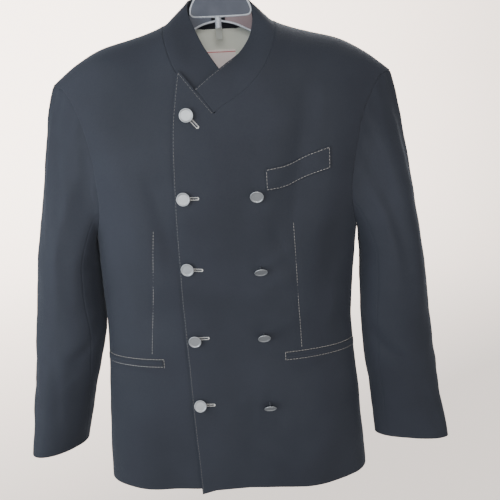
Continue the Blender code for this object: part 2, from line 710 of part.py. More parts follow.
def make_hanger(plastic, steel):
    """The moulded hanger: plate, rim, arms and post in one solid, and the wire hook."""
    outline = [Vector((PLATE_X + x, PLATE_Y, z)) for x, z in PLATE_OUTLINE]
    outline += [Vector((PLATE_X - x, PLATE_Y, z)) for x, z in PLATE_OUTLINE[:1:-1]]
    loop = rounded(outline, 1, True)
    bm = bmesh.new()
    sheet = bm.faces.new([bm.verts.new((p + Vector((0, PLATE_THICK / 2, 0))) * MM) for p in loop])
    grown = bmesh.ops.extrude_face_region(bm, geom=[sheet], use_keep_orig=True)
    moved = [v for v in grown["geom"] if isinstance(v, bmesh.types.BMVert)]
    bmesh.ops.translate(bm, verts=moved, vec=Vector((0, -PLATE_THICK, 0)) * MM)
    bmesh.ops.recalc_face_normals(bm, faces=bm.faces[:])
    hanger = finished("hanger", bm, plastic, smooth=False)

    under = (CLOTH + SEAM_GAP + ARM_RADIUS) * ARM_CLEAR
    arm = [Vector((x, PLATE_Y, z)) for x, z in ARM_ARCH]
    arm += [Vector((x, PLATE_Y, ridge(x) - under)) for x in ARM_REST]
    arm = rounded(arm, 1)
    both = [Vector((-p.x, p.y, p.z)) for p in arm[:0:-1]] + arm
    post = [Vector((PLATE_X - 4, PLATE_Y, POST_TOP)), Vector((PLATE_X - 4, PLATE_Y, POST_FOOT))]
    pieces = (
        tube("rim", loop, RIM_RADIUS, plastic, 1, True),
        tube("arms", both, ARM_RADIUS, plastic, 2),
        tube("post", post, POST_RADIUS, plastic, 2),
    )
    for piece in pieces:
        join(hanger, as_mesh(piece))
    make_hook(steel)


def join(body_piece, other):
    """Unions another mesh object into a piece with an applied EXACT Boolean."""
    union = body_piece.modifiers.new("union", "BOOLEAN")
    union.operation = "UNION"
    union.solver = "EXACT"
    union.object = other
    bpy.context.view_layer.update()
    mesh = bpy.data.meshes.new_from_object(body_piece.evaluated_get(bpy.context.evaluated_depsgraph_get()))
    body_piece.modifiers.remove(union)
    body_piece.data = mesh
    bpy.data.objects.remove(other)


def make_hook(steel):
    """The wire hook: a stem that stands above the plate, and a bow whose inner top is the origin."""
    reach = HOOK_RADIUS + WIRE_RADIUS
    centre = Vector((PLATE_X - 4, PLATE_Y, -HOOK_RADIUS))
    turns = [math.radians(degrees) for degrees in range(200, -61, -20)]
    bow = [centre + Vector((math.cos(turn), 0, math.sin(turn))) * reach for turn in turns]
    neck = Vector((centre.x + 4, PLATE_Y, -HOOK_RADIUS - reach - 2))
    stem = [neck, Vector((centre.x, PLATE_Y, STEM_FOOT + 12)), Vector((centre.x, PLATE_Y, STEM_FOOT))]
    tube("hook", rounded(bow + stem, 1), WIRE_RADIUS, steel, 1)


def finish_of(name, colour, roughness, metallic=0.0):
    """A plain Principled material in the piece's own colour."""
    material = bpy.data.materials.new(name)
    material.use_nodes = True
    shader = material.node_tree.nodes["Principled BSDF"]
    shader.inputs["Base Color"].default_value = (*colour, 1)
    shader.inputs["Roughness"].default_value = roughness
    shader.inputs["Metallic"].default_value = metallic
    return material


def build():
    """Makes every piece."""
    wool = finish_of("wool", (0.030, 0.034, 0.043), 0.85)
    lining = finish_of("lining", (0.42, 0.45, 0.40), 0.5)
    label = finish_of("label", (0.80, 0.66, 0.62), 0.7)
    silver = finish_of("button_metal", (0.50, 0.51, 0.52), 0.35, 0.9)
    plastic = finish_of("hanger_plastic", (0.30, 0.33, 0.38), 0.25)
    steel = finish_of("hook_steel", (0.60, 0.60, 0.60), 0.25, 1.0)
    make_fronts(wool)
    make_backs(wool)
    Collar().make(wool)
    Sleeve(1, SLEEVE_LEFT, ARM_FOLDS_LEFT).make("sleeve_left", wool)
    Sleeve(-1, SLEEVE_RIGHT, ARM_FOLDS_RIGHT).make("sleeve_right", wool)
    make_pockets(wool)
    make_neck_lining(lining, label)
    make_buttons(silver)
    make_hanger(plastic, steel)


for old in list(bpy.data.objects):
    bpy.data.objects.remove(old)
BLAZER = bpy.data.collections.new("blazer")
bpy.context.scene.collection.children.link(BLAZER)
build()
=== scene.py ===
"""Looks of a double-breasted blazer with a stand collar, buttoned and hanging on a moulded hanger.

The cloth lies on three forms, the body, the collar and a sleeve. A form turns two coordinates into a point and
an outward direction, so each panel is an outline in those coordinates with a wall of cloth behind it.
The front faces -Y and the wearer's left is at +X. Tables and sizes are in millimetres, and meshes in metres.
"""

import logging
import math
from bisect import bisect_right
from dataclasses import dataclass, field
from enum import Enum
from typing import Callable, Iterable, Sequence

import bmesh
import bpy
from mathutils import Matrix, Vector, noise


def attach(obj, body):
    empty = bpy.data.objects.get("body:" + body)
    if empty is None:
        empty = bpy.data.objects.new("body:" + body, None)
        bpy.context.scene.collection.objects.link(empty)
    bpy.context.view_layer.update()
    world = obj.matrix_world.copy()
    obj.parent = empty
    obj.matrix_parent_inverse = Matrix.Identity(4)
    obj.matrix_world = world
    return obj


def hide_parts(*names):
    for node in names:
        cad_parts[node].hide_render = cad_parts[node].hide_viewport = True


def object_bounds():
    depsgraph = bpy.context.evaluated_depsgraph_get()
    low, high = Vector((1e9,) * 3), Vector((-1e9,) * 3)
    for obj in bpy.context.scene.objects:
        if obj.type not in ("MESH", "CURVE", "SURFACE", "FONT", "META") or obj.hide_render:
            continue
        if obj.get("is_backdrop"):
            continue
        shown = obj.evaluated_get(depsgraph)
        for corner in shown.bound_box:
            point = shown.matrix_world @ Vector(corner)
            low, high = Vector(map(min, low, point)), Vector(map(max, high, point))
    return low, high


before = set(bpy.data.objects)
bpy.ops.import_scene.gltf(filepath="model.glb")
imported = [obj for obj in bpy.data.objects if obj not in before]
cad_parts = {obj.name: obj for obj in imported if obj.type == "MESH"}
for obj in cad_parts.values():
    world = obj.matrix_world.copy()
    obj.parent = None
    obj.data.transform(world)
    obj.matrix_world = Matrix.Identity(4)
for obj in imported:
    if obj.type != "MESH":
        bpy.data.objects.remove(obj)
CAD_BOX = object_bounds()
LOG = logging.getLogger("blazer")

MM = 0.001

# Panels meet with a gap below zero, so that no light shows through a seam.
SEAM_GAP = -0.1
BUTTON_GAP = 0.4

# An edge is shaded sharp from this many degrees, and a wall's rim is bevelled from this many radians.
SHARP_ANGLE = 48.0
RIM_ANGLE = 1.2

# Corners this close to a grid line count as on it, in millimetres, and points this close merge, in metres.
CUT_SLACK = 0.05
MERGE = 1e-6

# No side of a flat cut is stated below this, in metres.
SMALLEST_CUT = 0.0101

Pair = tuple[float, float]
Row = Sequence[float]
Colour = tuple[float, float, float]
Spot = tuple[Vector, Vector]
Place = Callable[[float, float], Spot]
Lift = Callable[[float, float], float]
Mesh = bmesh.types.BMesh
Piece = bpy.types.Object
Pieces = dict[str, Piece]
Material = bpy.types.Material
Tree = bpy.types.NodeTree
Node = bpy.types.Node
Socket = bpy.types.NodeSocket


class Slot(Enum):
    """The record's material slots."""

    WOOL = "wool"
    LINING = "lining"
    LABEL = "label"
    BUTTONS = "buttons"
    PLASTIC = "hanger_plastic"
    STEEL = "hook_steel"


class Side(Enum):
    """The wearer's side, as the sign of X."""

    LEFT = 1
    RIGHT = -1


class Curve:
    """A smooth curve through the rows of a table, read by its first column."""

    def __init__(self, rows: Iterable[Row]) -> None:
        """Sorts the rows by their key.

        Args:
            rows: the table, each row a key and its values.
        """
        self.rows = sorted(tuple(row) for row in rows)
        self.keys = [row[0] for row in self.rows]

    def at(self, key: float) -> list[float]:
        """The table's values at a key.

        Args:
            key: where the curve is read.

        Returns:
            The other columns there.
        """
        last = len(self.rows) - 1
        i = min(max(bisect_right(self.keys, key) - 1, 0), last - 1)
        low, high = self.rows[i], self.rows[i + 1]
        before, after = self.rows[max(i - 1, 0)], self.rows[min(i + 2, last)]
        span = high[0] - low[0]
        t = (key - low[0]) / span
        low_share = 2 * t**3 - 3 * t**2 + 1
        start_share = (t**3 - 2 * t**2 + t) * span / (high[0] - before[0])
        end_share = (t**3 - t**2) * span / (after[0] - low[0])
        return [
            low_share * low[c] + (1 - low_share) * high[c]
            + start_share * (high[c] - before[c]) + end_share * (after[c] - low[c])
            for c in range(1, len(low))
        ]


class Folds:
    """Soft folds along lines: rows of start, end, width and lift. Ridges lift the cloth and troughs sink it."""

    def __init__(self, rows: Iterable[Row]) -> None:
        """Keeps each fold's line in the form that at() reads.

        Args:
            rows: start across, start along, end across, end along, width and lift.
        """
        self.lines = []
        for x0, z0, x1, z1, width, lift in rows:
            run_x, run_z = x1 - x0, z1 - z0
            self.lines.append((x0, z0, run_x, run_z, math.hypot(run_x, run_z), width, lift))

    def at(self, across: float, along: float) -> float:
        """How far the folds lift the cloth at a place.

        Args:
            across: the place's first coordinate.
            along: its second coordinate.

        Returns:
            The lift in millimetres.
        """
        total = 0.0
        for x0, z0, run_x, run_z, length, width, lift in self.lines:
            aside = ((across - x0) * run_z - (along - z0) * run_x) / (length * width)
            if abs(aside) > 3:
                continue
            share = ((across - x0) * run_x + (along - z0) * run_z) / length**2 * 2 - 1
            if abs(share) < 1.8:
                total += lift * math.exp(-(aside**2) - share**4)
        return total


def ripple(point: Vector, size: float, height: float, seed: float = 0.0) -> float:
    """Gentle unevenness of hanging cloth, the same in every run.

    Args:
        point: a place in millimetres.
        size: how wide one wave is.
        height: how high the waves are.
        seed: sets one ripple apart from another.

    Returns:
        The lift in millimetres.
    """
    return height * noise.noise(Vector((point.x / size + seed, point.y / size, point.z / size)))


def waves(point: Vector, rows: Iterable[Row]) -> float:
    """The lift of ripples laid over one another, each row a size, a height and a seed."""
    return sum(ripple(point, *row) for row in rows)


def ease(value: float) -> float:
    """A soft step from 0 to 1 for a value from 0 to 1."""
    value = min(1.0, max(0.0, value))
    return value * value * (3 - 2 * value)


def hermite(begin: Vector, leave: Vector, end: Vector, arrive: Vector, t: float) -> Vector:
    """A point on the curve that starts along one vector and ends along another.

    Args:
        begin: the start.
        leave: the direction at the start.
        end: the end.
        arrive: the direction at the end.
        t: the share of the way, from 0 to 1.

    Returns:
        The point.
    """
    return (
        begin * (2 * t**3 - 3 * t**2 + 1) + leave * (t**3 - 2 * t**2 + t)
        + end * (3 * t**2 - 2 * t**3) + arrive * (t**3 - t**2)
    )


@dataclass
class BodyForm:
    """The jacket's body: turn runs from the centre front (0) by the side (90) to the back (180)."""

    chest: float = -335.0
    squareness: float = 2.5
    shoulder_round: float = 2.4
    overlap_lift: float = 4.5
    sections: tuple[Row, ...] = (
        (-880, 227, 75, 66, -8), (-800, 221, 74, 65, -8), (-725, 215, 72, 63, -9), (-650, 207, 69, 60, -9),
        (-580, 202.5, 68, 59, -9), (-510, 203, 70, 61, -8), (-430, 207, 75, 67, -5), (-335, 222, 78, 73, -2),
        (-200, 240, 78, 75, 0), (0, 262, 77, 75, 0),
    )
    ridge_line: tuple[Row, ...] = (
        (0, -75), (30, -84), (55, -101), (80, -120), (105, -130), (130, -137),
        (175, -149), (212, -168), (235, -184), (252, -197), (265, -208),
    )
    front_folds: tuple[Row, ...] = (
        (128, -235, 76, -455, 28, -4.6), (92, -245, 42, -440, 26, 3), (168, -290, 122, -520, 26, 4.5),
        (-112, -330, -80, -475, 19, -6), (-182, -225, -128, -450, 28, 5), (22, -527, 98, -487, 17, 2.5),
        (18, -700, 14, -890, 30, -2.2), (112, -710, 122, -890, 36, 3), (-152, -700, -164, -890, 34, 4),
        (-108, -740, -104, -890, 26, -1.8),
    )
    back_folds: tuple[Row, ...] = (
        (-95, -200, -118, -430, 30, -6), (92, -205, 124, -440, 30, -6), (-66, -540, -76, -890, 36, 6),
        (72, -560, 64, -890, 36, 5), (0, -420, 4, -650, 42, -4), (-158, -640, -166, -890, 24, -5),
        (156, -660, 160, -890, 24, -5),
    )
    fine_front: tuple[Row, ...] = (
        (118, -200, 92, -430, 9, -1.1), (146, -205, 128, -330, 10, 1.0), (60, -405, 104, -505, 8, -1.3),
        (44, -366, 82, -330, 7, 0.9), (46, -476, 96, -446, 8, 1.2), (40, -500, 100, -520, 9, -0.8),
        (46, -588, 102, -560, 8, 1.1), (36, -612, 84, -640, 9, -0.8), (40, -690, 30, -742, 8, 1.5),
        (56, -706, 70, -760, 9, -1.2), (-96, -285, -78, -420, 9, -1.2), (-132, -300, -104, -430, 10, 0.9),
        (-112, -411, -134, -613, 3.6, -0.9), (96, -407, 104, -611, 3.6, -0.9),
        (-120, -655, -196, -640, 8, -1.0), (96, -658, 178, -634, 8, -1.0), (-176, -420, -150, -600, 12, 1.2),
        (168, -470, 150, -600, 12, 1.1), (-30, -300, 30, -330, 14, 0.6), (-20, -760, 44, -800, 16, 0.8),
    )
    fine_back: tuple[Row, ...] = (
        (-170, -250, -60, -330, 12, 1.2), (170, -256, 70, -320, 12, 1.2), (-150, -500, -60, -545, 9, -1.2),
        (150, -515, 50, -560, 9, -1.2), (-40, -480, 70, -500, 10, 0.9), (-110, -640, -120, -860, 16, 1.3),
        (112, -650, 118, -860, 16, 1.3), (30, -160, 44, -300, 12, -0.8), (-34, -160, -46, -290, 12, -0.8),
    )
    dimples: tuple[Row, ...] = (
        (-60, -363, 13, -0.8), (-62, -471, 13, -0.8), (-60, -589, 13, -0.8), (-59, -702, 13, -0.8),
        (44, -352, 8, -0.7), (44, -461, 8, -0.9), (45, -573, 8, -0.9), (50, -691, 8, -1.1),
    )
    armhole_line: tuple[Row, ...] = (
        (0, 252, -197, 252, -197), (30, 230, -207, 234, -212), (60, 206, -252, 220, -258),
        (90, 193, -316, 211, -320), (120, 191, -376, 206, -378), (150, 199, -417, 205, -418),
        (180, 207, -430, 207, -430),
    )
    armhole_step: float = 7.5
    soft_waves: tuple[Row, ...] = ((62, 1.5, 0.0), (27, 0.5, 7.0), (11, 0.16, 3.0))
    calm_ridge: float = 28.0
    calm_top: float = 190.0
    calm_reach: float = 60.0
    over_ease: Pair = (22.0, 38.0)
    over_fade: float = 140.0
    turn_step: float = 0.1
    height_step: float = 0.4

    def __post_init__(self) -> None:
        """Turns the tables into curves and folds."""
        self.levels = Curve(self.sections)
        self.ridge_curve = Curve(self.ridge_line)
        self.armhole_curve = Curve(self.armhole_line)
        self.large = {False: Folds(self.front_folds), True: Folds(self.back_folds)}
        self.small = {False: Folds(self.fine_front), True: Folds(self.fine_back)}
        self.holes: dict[tuple[int, float, bool], Pair] = {}

    def ridge(self, x: float) -> float:
        """Height of the shoulder ridge at a distance from the centre."""
        return self.ridge_curve.at(abs(x))[0]

    def bare(self, turn: float, height: float) -> Vector:
        """A point of the form with its largest folds.

        Args:
            turn: degrees from the centre front.
            height: the form's height, which bends over to the ridge above the chest.

        Returns:
            The point in millimetres.
        """
        half_width, front, back, centre = self.levels.at(height)
        sine, cosine = math.sin(math.radians(turn)), math.cos(math.radians(turn))
        x = centre + half_width * sine
        z, round_off = height, 1.0
        if height > self.chest:
            climb = math.sin(min(1.0, (height - self.chest) / -self.chest) * math.pi / 2)
            z = self.chest + (self.ridge(x) - self.chest) * climb
            round_off = math.sqrt(max(0.0, 1 - climb**self.shoulder_round))
        flat = max(0.0, 1 - abs(sine) ** self.squareness) ** (1 / self.squareness)
        facing = cosine >= 0
        depth = (front if facing else back) * round_off + self.large[not facing].at(x, z)
        return Vector((x, depth * flat * (-1 if facing else 1), z))

    def outward(self, turn: float, height: float) -> Vector:
        """The outward direction at two coordinates.

        Args:
            turn: degrees from the centre front.
            height: the form's height.

        Returns:
            The direction, of length 1.
        """
        along = self.bare(turn + self.turn_step, height) - self.bare(turn - self.turn_step, height)
        up = self.bare(turn, min(height + self.height_step, 0.0)) - self.bare(turn, height - self.height_step)
        return along.cross(up).normalized()

    def detail(self, point: Vector, turn: float) -> float:
        """The fine lift of the cloth over the largest folds: small folds, dimples at buttons and soft waves.

        Args:
            point: the place on the bare form.
            turn: its turn, which tells front from back.

        Returns:
            The lift in millimetres.
        """
        back = math.cos(math.radians(turn)) < 0
        lift = self.small[back].at(point.x, point.z)
        if not back:
            for x, z, radius, height in self.dimples:
                away = ((point.x - x) ** 2 + (point.z - z) ** 2) / radius**2
                if away < 6:
                    lift += height * math.exp(-away)
        lift += waves(point, self.soft_waves)
        below_ridge = ease((self.ridge(point.x) - point.z) / self.calm_ridge)
        return lift * below_ridge * ease((-point.z - self.calm_top) / self.calm_reach + 0.75)

    def at(self, turn: float, height: float, lift: float = 0.0) -> Spot:
        """A point of the cloth with its fine detail, and the outward direction there.

        Args:
            turn: degrees from the centre front.
            height: the form's height.
            lift: how far outside the form the point lies.

        Returns:
            The point and the direction.
        """
        bare, out = self.bare(turn, height), self.outward(turn, height)
        return bare + out * (lift + self.detail(bare, turn)), out

    def chart(self, x: float, z: float, back: bool = False) -> Pair:
        """The form's coordinates of a point seen from the front, or from behind.

        Args:
            x: the distance from the middle.
            z: the height.
            back: reads the back of the form.

        Returns:
            Turn and height of the form.
        """
        height = z
        if z > self.chest:
            climb = min(1.0, (z - self.chest) / (self.ridge(x) - self.chest))
            height = self.chest - self.chest * math.asin(climb) * 2 / math.pi
        half_width, _, _, centre = self.levels.at(height)
        turn = math.degrees(math.asin(max(-1.0, min(1.0, (x - centre) / half_width))))
        return (math.copysign(180, x if x else 1) - turn if back else turn), height

    def over_lift(self, turn: float, height: float) -> float:
        """How far the overlapping front lies off the form: it eases off to the side and the shoulder."""
        aside = ease((abs(turn) - self.over_ease[0]) / self.over_ease[1]) if turn > 0 else 0.0
        return self.overlap_lift * (1 - aside) * (1 - ease((height + self.over_fade) / self.over_fade))

    def over_at(self, turn: float, height: float) -> Spot:
        """A point of the overlapping front, and the outward direction there."""
        return self.at(turn, height, self.over_lift(turn, height))

    def shoulder(self, turn: float) -> float:
        """The height coordinate half a seam gap in front of or behind the ridge.

        Args:
            turn: degrees from the centre front.

        Returns:
            The height coordinate.
        """
        _, front, back, _ = self.levels.at(0)
        flat = (1 - abs(math.sin(math.radians(turn))) ** self.squareness) ** (1 / self.squareness)
        depth = (front if math.cos(math.radians(turn)) > 0 else back) * flat
        climb = (1 - (SEAM_GAP / 2 / depth) ** 2) ** (1 / self.shoulder_round)
        return self.chest - self.chest * math.asin(climb) * 2 / math.pi

    def armhole(self, side: Side, angle: float, back: bool = False) -> Pair:
        """Coordinates of the armhole, from the shoulder point (0) to the underarm (180).

        Args:
            side: the wearer's side.
            angle: the place round the armhole.
            back: reads it on the back panel.

        Returns:
            Turn and height of the form.
        """
        key = (side.value, angle, back)
        if key not in self.holes:
            front_out, front_z, back_out, back_z = self.armhole_curve.at(angle)
            out, z = (back_out, back_z) if back else (front_out, front_z)
            height = self.chart(side.value * out, z)[1]
            self.holes[key] = self.chart(side.value * out + self.levels.at(height)[3], z, back)
        return self.holes[key]

    def armhole_run(self, side: Side, back: bool = False) -> list[Pair]:
        """Armhole points from the underarm up towards the shoulder point, without both ends."""
        count = round(180 / self.armhole_step)
        return [self.armhole(side, self.armhole_step * i, back) for i in range(count - 1, 0, -1)]

    def side_join(self, side: Side, turn: float) -> Pair:
        """Where a side seam's line meets the armhole, as unsigned coordinates.

        Args:
            side: the wearer's side.
            turn: the seam's turn.

        Returns:
            Turn and height of the place.
        """
        run = [(abs(u), v) for u, v in [self.armhole(side, 180)] + self.armhole_run(side)]
        for (u0, v0), (u1, v1) in zip(run, run[1:]):
            if u0 >= turn >= u1:
                return turn, v0 + (v1 - v0) * (u0 - turn) / (u0 - u1)
        return run[0]

    def shoulder_run(self, first: float, last: float, count: int = 12) -> list[Pair]:
        """Points along the shoulder seam between two turns."""
        turns = [first + (last - first) * i / count for i in range(count + 1)]
        return [(turn, self.shoulder(turn)) for turn in turns]


def between(first: Pair, last: Pair, part: float) -> Pair:
    """Body coordinates part of the way between two pairs, taken the short way round.

    Args:
        first: one pair.
        last: the other.
        part: the share of the way.

    Returns:
        The pair between them.
    """
    turn = last[0]
    if abs(turn - first[0]) > 180:
        turn += math.copysign(360, first[0])
    return first[0] + (turn - first[0]) * part, first[1] + (last[1] - first[1]) * part


def dense(rows: Sequence[Row], parts: int = 2) -> list[list[float]]:
    """A table's rows with smooth ones set between them."""
    curve = Curve((i, *row) for i, row in enumerate(rows))
    return [curve.at(i / parts) for i in range(parts * (len(rows) - 1) + 1)]


@dataclass
class CollarForm:
    """The stand collar: along it by neck station, and across it from the seam (0) to the free edge (1)."""

    body: BodyForm
    tuck: float = 0.5
    leave: float = 0.7
    arrive: float = 1.05
    roll: tuple[float, float, float] = (-0.7, 0.16, 0.12)
    dip: Pair = (-0.65, 0.05)
    soft_waves: tuple[Row, ...] = ((34, 0.7, 5.0), (12, 0.15, 9.0))
    over: tuple[Row, ...] = (
        (-11, -244, -38, -73, -212), (8, -231, -15, -71, -194), (27, -220, 0, -67, -184),
        (44, -206, 14, -59, -174), (59, -189, 27, -48, -165), (70, -170, 38, -34, -151),
        (78, -150, 46, -20, -136), (81, -134, 50, -8, -113), (80, -120, 48, 4, -92),
    )
    back: tuple[Row, ...] = (
        (72, -123.5, 44, 20, -85), (50, -123.5, 34, 33, -81), (25, -122.5, 18, 41, -78), (0, -122, 0, 43, -77),
        (-25, -122.5, -18, 41, -78), (-50, -123.5, -33, 33, -81), (-72, -123.5, -44, 20, -85),
    )
    under: tuple[Row, ...] = (
        (-80, -120, -45, 4, -90), (-80, -134, -43, -9, -106), (-76, -150, -37, -21, -120),
        (-70, -169, -30, -32, -136), (-62, -186, -22, -43, -152), (-50, -202, -12, -53, -168),
        (-35, -216, -1, -60, -184), (-17, -228, 9, -64, -196),
    )

    def __post_init__(self) -> None:
        """Finds the body coordinates and the free edge of each span between stations."""
        self.tables = (dense(self.over), dense((self.over[-1], *self.back, self.under[0])), dense(self.under))
        self.spans = []
        for stations, back in zip(self.tables, (False, True, False)):
            for first, last in zip(stations, stations[1:]):
                ends = [self.body.chart(row[0], row[1], back) for row in (first, last)]
                self.spans.append((ends, [Vector(row[2:5]) for row in (first, last)]))
        self.over_count = 2 * (len(self.over) - 1)
        self.count = len(self.spans)
        self.feet: dict[float, Spot] = {}

    def foot(self, position: float) -> Spot:
        """The panel's edge point under a station, with the body's outward direction there.

        Args:
            position: the station along the collar.

        Returns:
            The point and the direction.
        """
        key = round(position, 4)
        if key not in self.feet:
            i = min(max(int(position), 0), self.count - 1)
            turn, height = between(*self.spans[i][0], position - i)
            height = min(height, -0.4)
            lift = self.body.over_lift(turn, height) if i < self.over_count else 0.0
            self.feet[key] = self.body.at(turn, height, lift)
        return self.feet[key]

    def point(self, position: float, across: float) -> Vector:
        """A point of the outer side: it leaves along the panel and turns up to its free edge.

        Args:
            position: the station along the collar.
            across: 0 at the seam and 1 at the free edge.

        Returns:
            The point in millimetres.
        """
        i = min(max(int(position), 0), self.count - 1)
        free = self.spans[i][1][0].lerp(self.spans[i][1][1], position - i)
        start, out = self.foot(position)
        low, high = max(0.0, position - 0.3), min(float(self.count), position + 0.3)
        away = out.cross(self.foot(high)[0] - self.foot(low)[0]).normalized()
        start = start - away * self.tuck
        reach = free - start
        return hermite(start, away * reach.length * self.leave, free, reach * self.arrive, across)

    def at(self, position: float, across: float) -> Spot:
        """A point of the collar's cloth and its outward direction.

        Args:
            position: the station along the collar.
            across: 0 at the seam and 1 at the free edge.

        Returns:
            The point and the direction.
        """
        low, high = max(0.0, position - 0.5), min(float(self.count), position + 0.5)
        along = self.point(high, across) - self.point(low, across)
        low, high = max(0.0, across - 0.02), min(1.0, across + 0.02)
        up = self.point(position, high) - self.point(position, low)
        out = along.cross(up).normalized()
        point = self.point(position, across)
        depth, middle, width = self.roll
        roll = depth * math.exp(-((across - middle) / width) ** 2)
        dip = self.dip[0] * math.exp(-((across / self.dip[1]) ** 2))
        return point + out * (waves(point, self.soft_waves) * ease(across * 3) + roll + dip), out


@dataclass
class SleeveForm:
    """A set-in sleeve: round it by angle, 0 outside and 90 in front, and along it by position.

    Positions from 0 to 1 are the cap, which leaves the armhole, and from 1 to 2 the arm down to the cuff.
    """

    body: BodyForm
    side: Side
    sections: tuple[Row, ...]
    folds: tuple[Row, ...]
    fine: tuple[Row, ...]
    lean: float = 0.16
    tuck: float = 0.7
    dip: float = 1.0
    dip_reach: float = 0.05
    arrive: float = 0.9
    gather: tuple[float, float, float] = (0.1, 0.13, 100.0)
    pucker: tuple[float, float, float, float] = (0.75, 21.0, 40.0, 5.0)
    soft_waves: tuple[Row, ...] = ((48, 1.7, 2.0), (21, 0.6, 4.0), (9, 0.15, 1.0))
    angle_step: float = 1.5
    step: float = 0.01
    leaving: tuple[Row, ...] = (
        (0, 34, 0), (45, 45, 0), (90, 60, 0), (120, 42, 12), (150, 22, 55), (180, 12, 90),
    )

    def __post_init__(self) -> None:
        """Turns the tables into curves."""
        self.tube = Curve(self.sections)
        self.leaves = Curve(self.leaving)
        self.large, self.small = Folds(self.folds), Folds(self.fine)
        self.top, self.foot = self.sections[0][0], self.sections[-1][0]
        self.starts: dict[float, Spot] = {}

    def section(self, angle: float, height: float) -> Vector:
        """A point of the arm's tube.

        Args:
            angle: degrees round the sleeve.
            height: the height of the tube's middle.

        Returns:
            The point in millimetres.
        """
        out, y, half_width, half_depth, turn, lift = self.tube.at(height)
        cosine, sine = math.cos(math.radians(angle)), math.sin(math.radians(angle))
        swing, sway = math.cos(math.radians(turn)), math.sin(math.radians(turn))
        x = out + half_width * cosine * swing - half_depth * sine * sway
        y = y - half_width * cosine * sway - half_depth * sine * swing
        return Vector((self.side.value * x, y, height + lift * cosine))

    def edge(self, angle: float) -> Spot:
        """The armhole point that an angle starts from, and the body's outward direction there.

        Args:
            angle: degrees round the sleeve.

        Returns:
            The point and the direction.
        """
        key = round(angle, 4)
        if key not in self.starts:
            wrapped = (angle + 180) % 360 - 180
            back, size = wrapped < 0, abs(wrapped)
            step = self.body.armhole_step
            low = min(math.floor(size / step) * step, 180 - step)
            ends = [self.body.armhole(self.side, node, back) for node in (low, low + step)]
            turn, height = between(*ends, (size - low) / step)
            height = min(height, -0.4)
            lift = self.body.over_lift(turn, height) if self.side is Side.LEFT else 0.0
            self.starts[key] = self.body.at(turn, height, lift)
        return self.starts[key]

    def bare(self, angle: float, position: float) -> Vector:
        """A point of the outer side without folds.

        Args:
            angle: degrees round the sleeve.
            position: 0 at the armhole, 1 below the cap and 2 at the cuff.

        Returns:
            The point in millimetres.
        """
        if position >= 1:
            return self.section(angle, self.top + (self.foot - self.top) * (position - 1))
        begin, out = self.edge(angle)
        along = self.edge(angle + self.angle_step)[0] - self.edge(angle - self.angle_step)[0]
        away = out.cross(along).normalized() * self.side.value
        reach, tip = self.leaves.at(abs((angle + 180) % 360 - 180))
        tip = math.radians(tip)
        way = away * math.cos(tip) + out * math.sin(tip)
        end = self.section(angle, self.top)
        down = Vector((self.side.value * self.lean, 0, -1)).normalized()
        arrive = down * (end - begin).length * self.arrive
        return hermite(begin - way * self.tuck, way * reach, end, arrive, position)

    def point(self, angle: float, position: float) -> Vector:
        """A point of the outer side with its large folds, which fade out at the armhole.

        Args:
            angle: degrees round the sleeve.
            position: 0 at the armhole, 1 below the cap and 2 at the cuff.

        Returns:
            The point in millimetres.
        """
        bare = self.bare(angle, position)
        turned = math.radians(angle)
        way = Vector((self.side.value * math.cos(turned), -math.sin(turned), 0))
        return bare + way * self.large.at(angle, bare.z) * min(1.0, position / 0.3)

    def at(self, angle: float, position: float) -> Spot:
        """A point of the sleeve's cloth with its fine detail, and the outward direction.

        Args:
            angle: degrees round the sleeve.
            position: 0 at the armhole, 1 below the cap and 2 at the cuff.

        Returns:
            The point and the direction.
        """
        along = self.point(angle + self.angle_step, position) - self.point(angle - self.angle_step, position)
        above, below = max(0.0, position - self.step), min(2.0, position + self.step)
        down = self.point(angle, below) - self.point(angle, above)
        out = along.cross(down).normalized() * self.side.value
        point = self.point(angle, position)
        wrapped = (angle + 180) % 360 - 180
        middle, width, spread = self.gather
        gather = math.exp(-((position - middle) / width) ** 2) * math.exp(-((wrapped / spread) ** 4))
        height, count, sway, slow = self.pucker
        pucker = height * math.sin(math.radians(wrapped * count + sway * math.sin(math.radians(wrapped * slow))))
        lift = self.small.at(wrapped if wrapped > -100 else wrapped + 360, point.z)
        lift += waves(point, self.soft_waves)
        sunk = self.dip * math.exp(-((position / self.dip_reach) ** 2))
        lift = lift * ease(position / 0.25) + pucker * gather * ease(position / 0.06) - sunk
        return point + out * lift, out


def thicken(bm: Mesh, way: Row) -> None:
    """Turns the faces of a mesh into a closed wall.

    Args:
        bm: the mesh.
        way: where its other side lies.
    """
    grown = bmesh.ops.extrude_face_region(bm, geom=bm.faces[:], use_keep_orig=True)
    moved = [v for v in grown["geom"] if isinstance(v, bmesh.types.BMVert)]
    bmesh.ops.translate(bm, verts=moved, vec=way)


def spun(profile: Iterable[Pair], steps: int, merge: float) -> Mesh:
    """A profile spun all the way round the upright axis.

    Args:
        profile: radius and height pairs, in metres.
        steps: how many faces go round.
        merge: the distance at which points at the pole and the seam join.

    Returns:
        The mesh.
    """
    bm = bmesh.new()
    points = [bm.verts.new((radius, 0, height)) for radius, height in profile]
    edges = [bm.edges.new(pair) for pair in zip(points, points[1:])]
    bmesh.ops.spin(
        bm, geom=points + edges, cent=(0, 0, 0), axis=(0, 0, 1), angle=math.tau, steps=steps, use_merge=True
    )
    bmesh.ops.remove_doubles(bm, verts=bm.verts[:], dist=merge)
    return bm


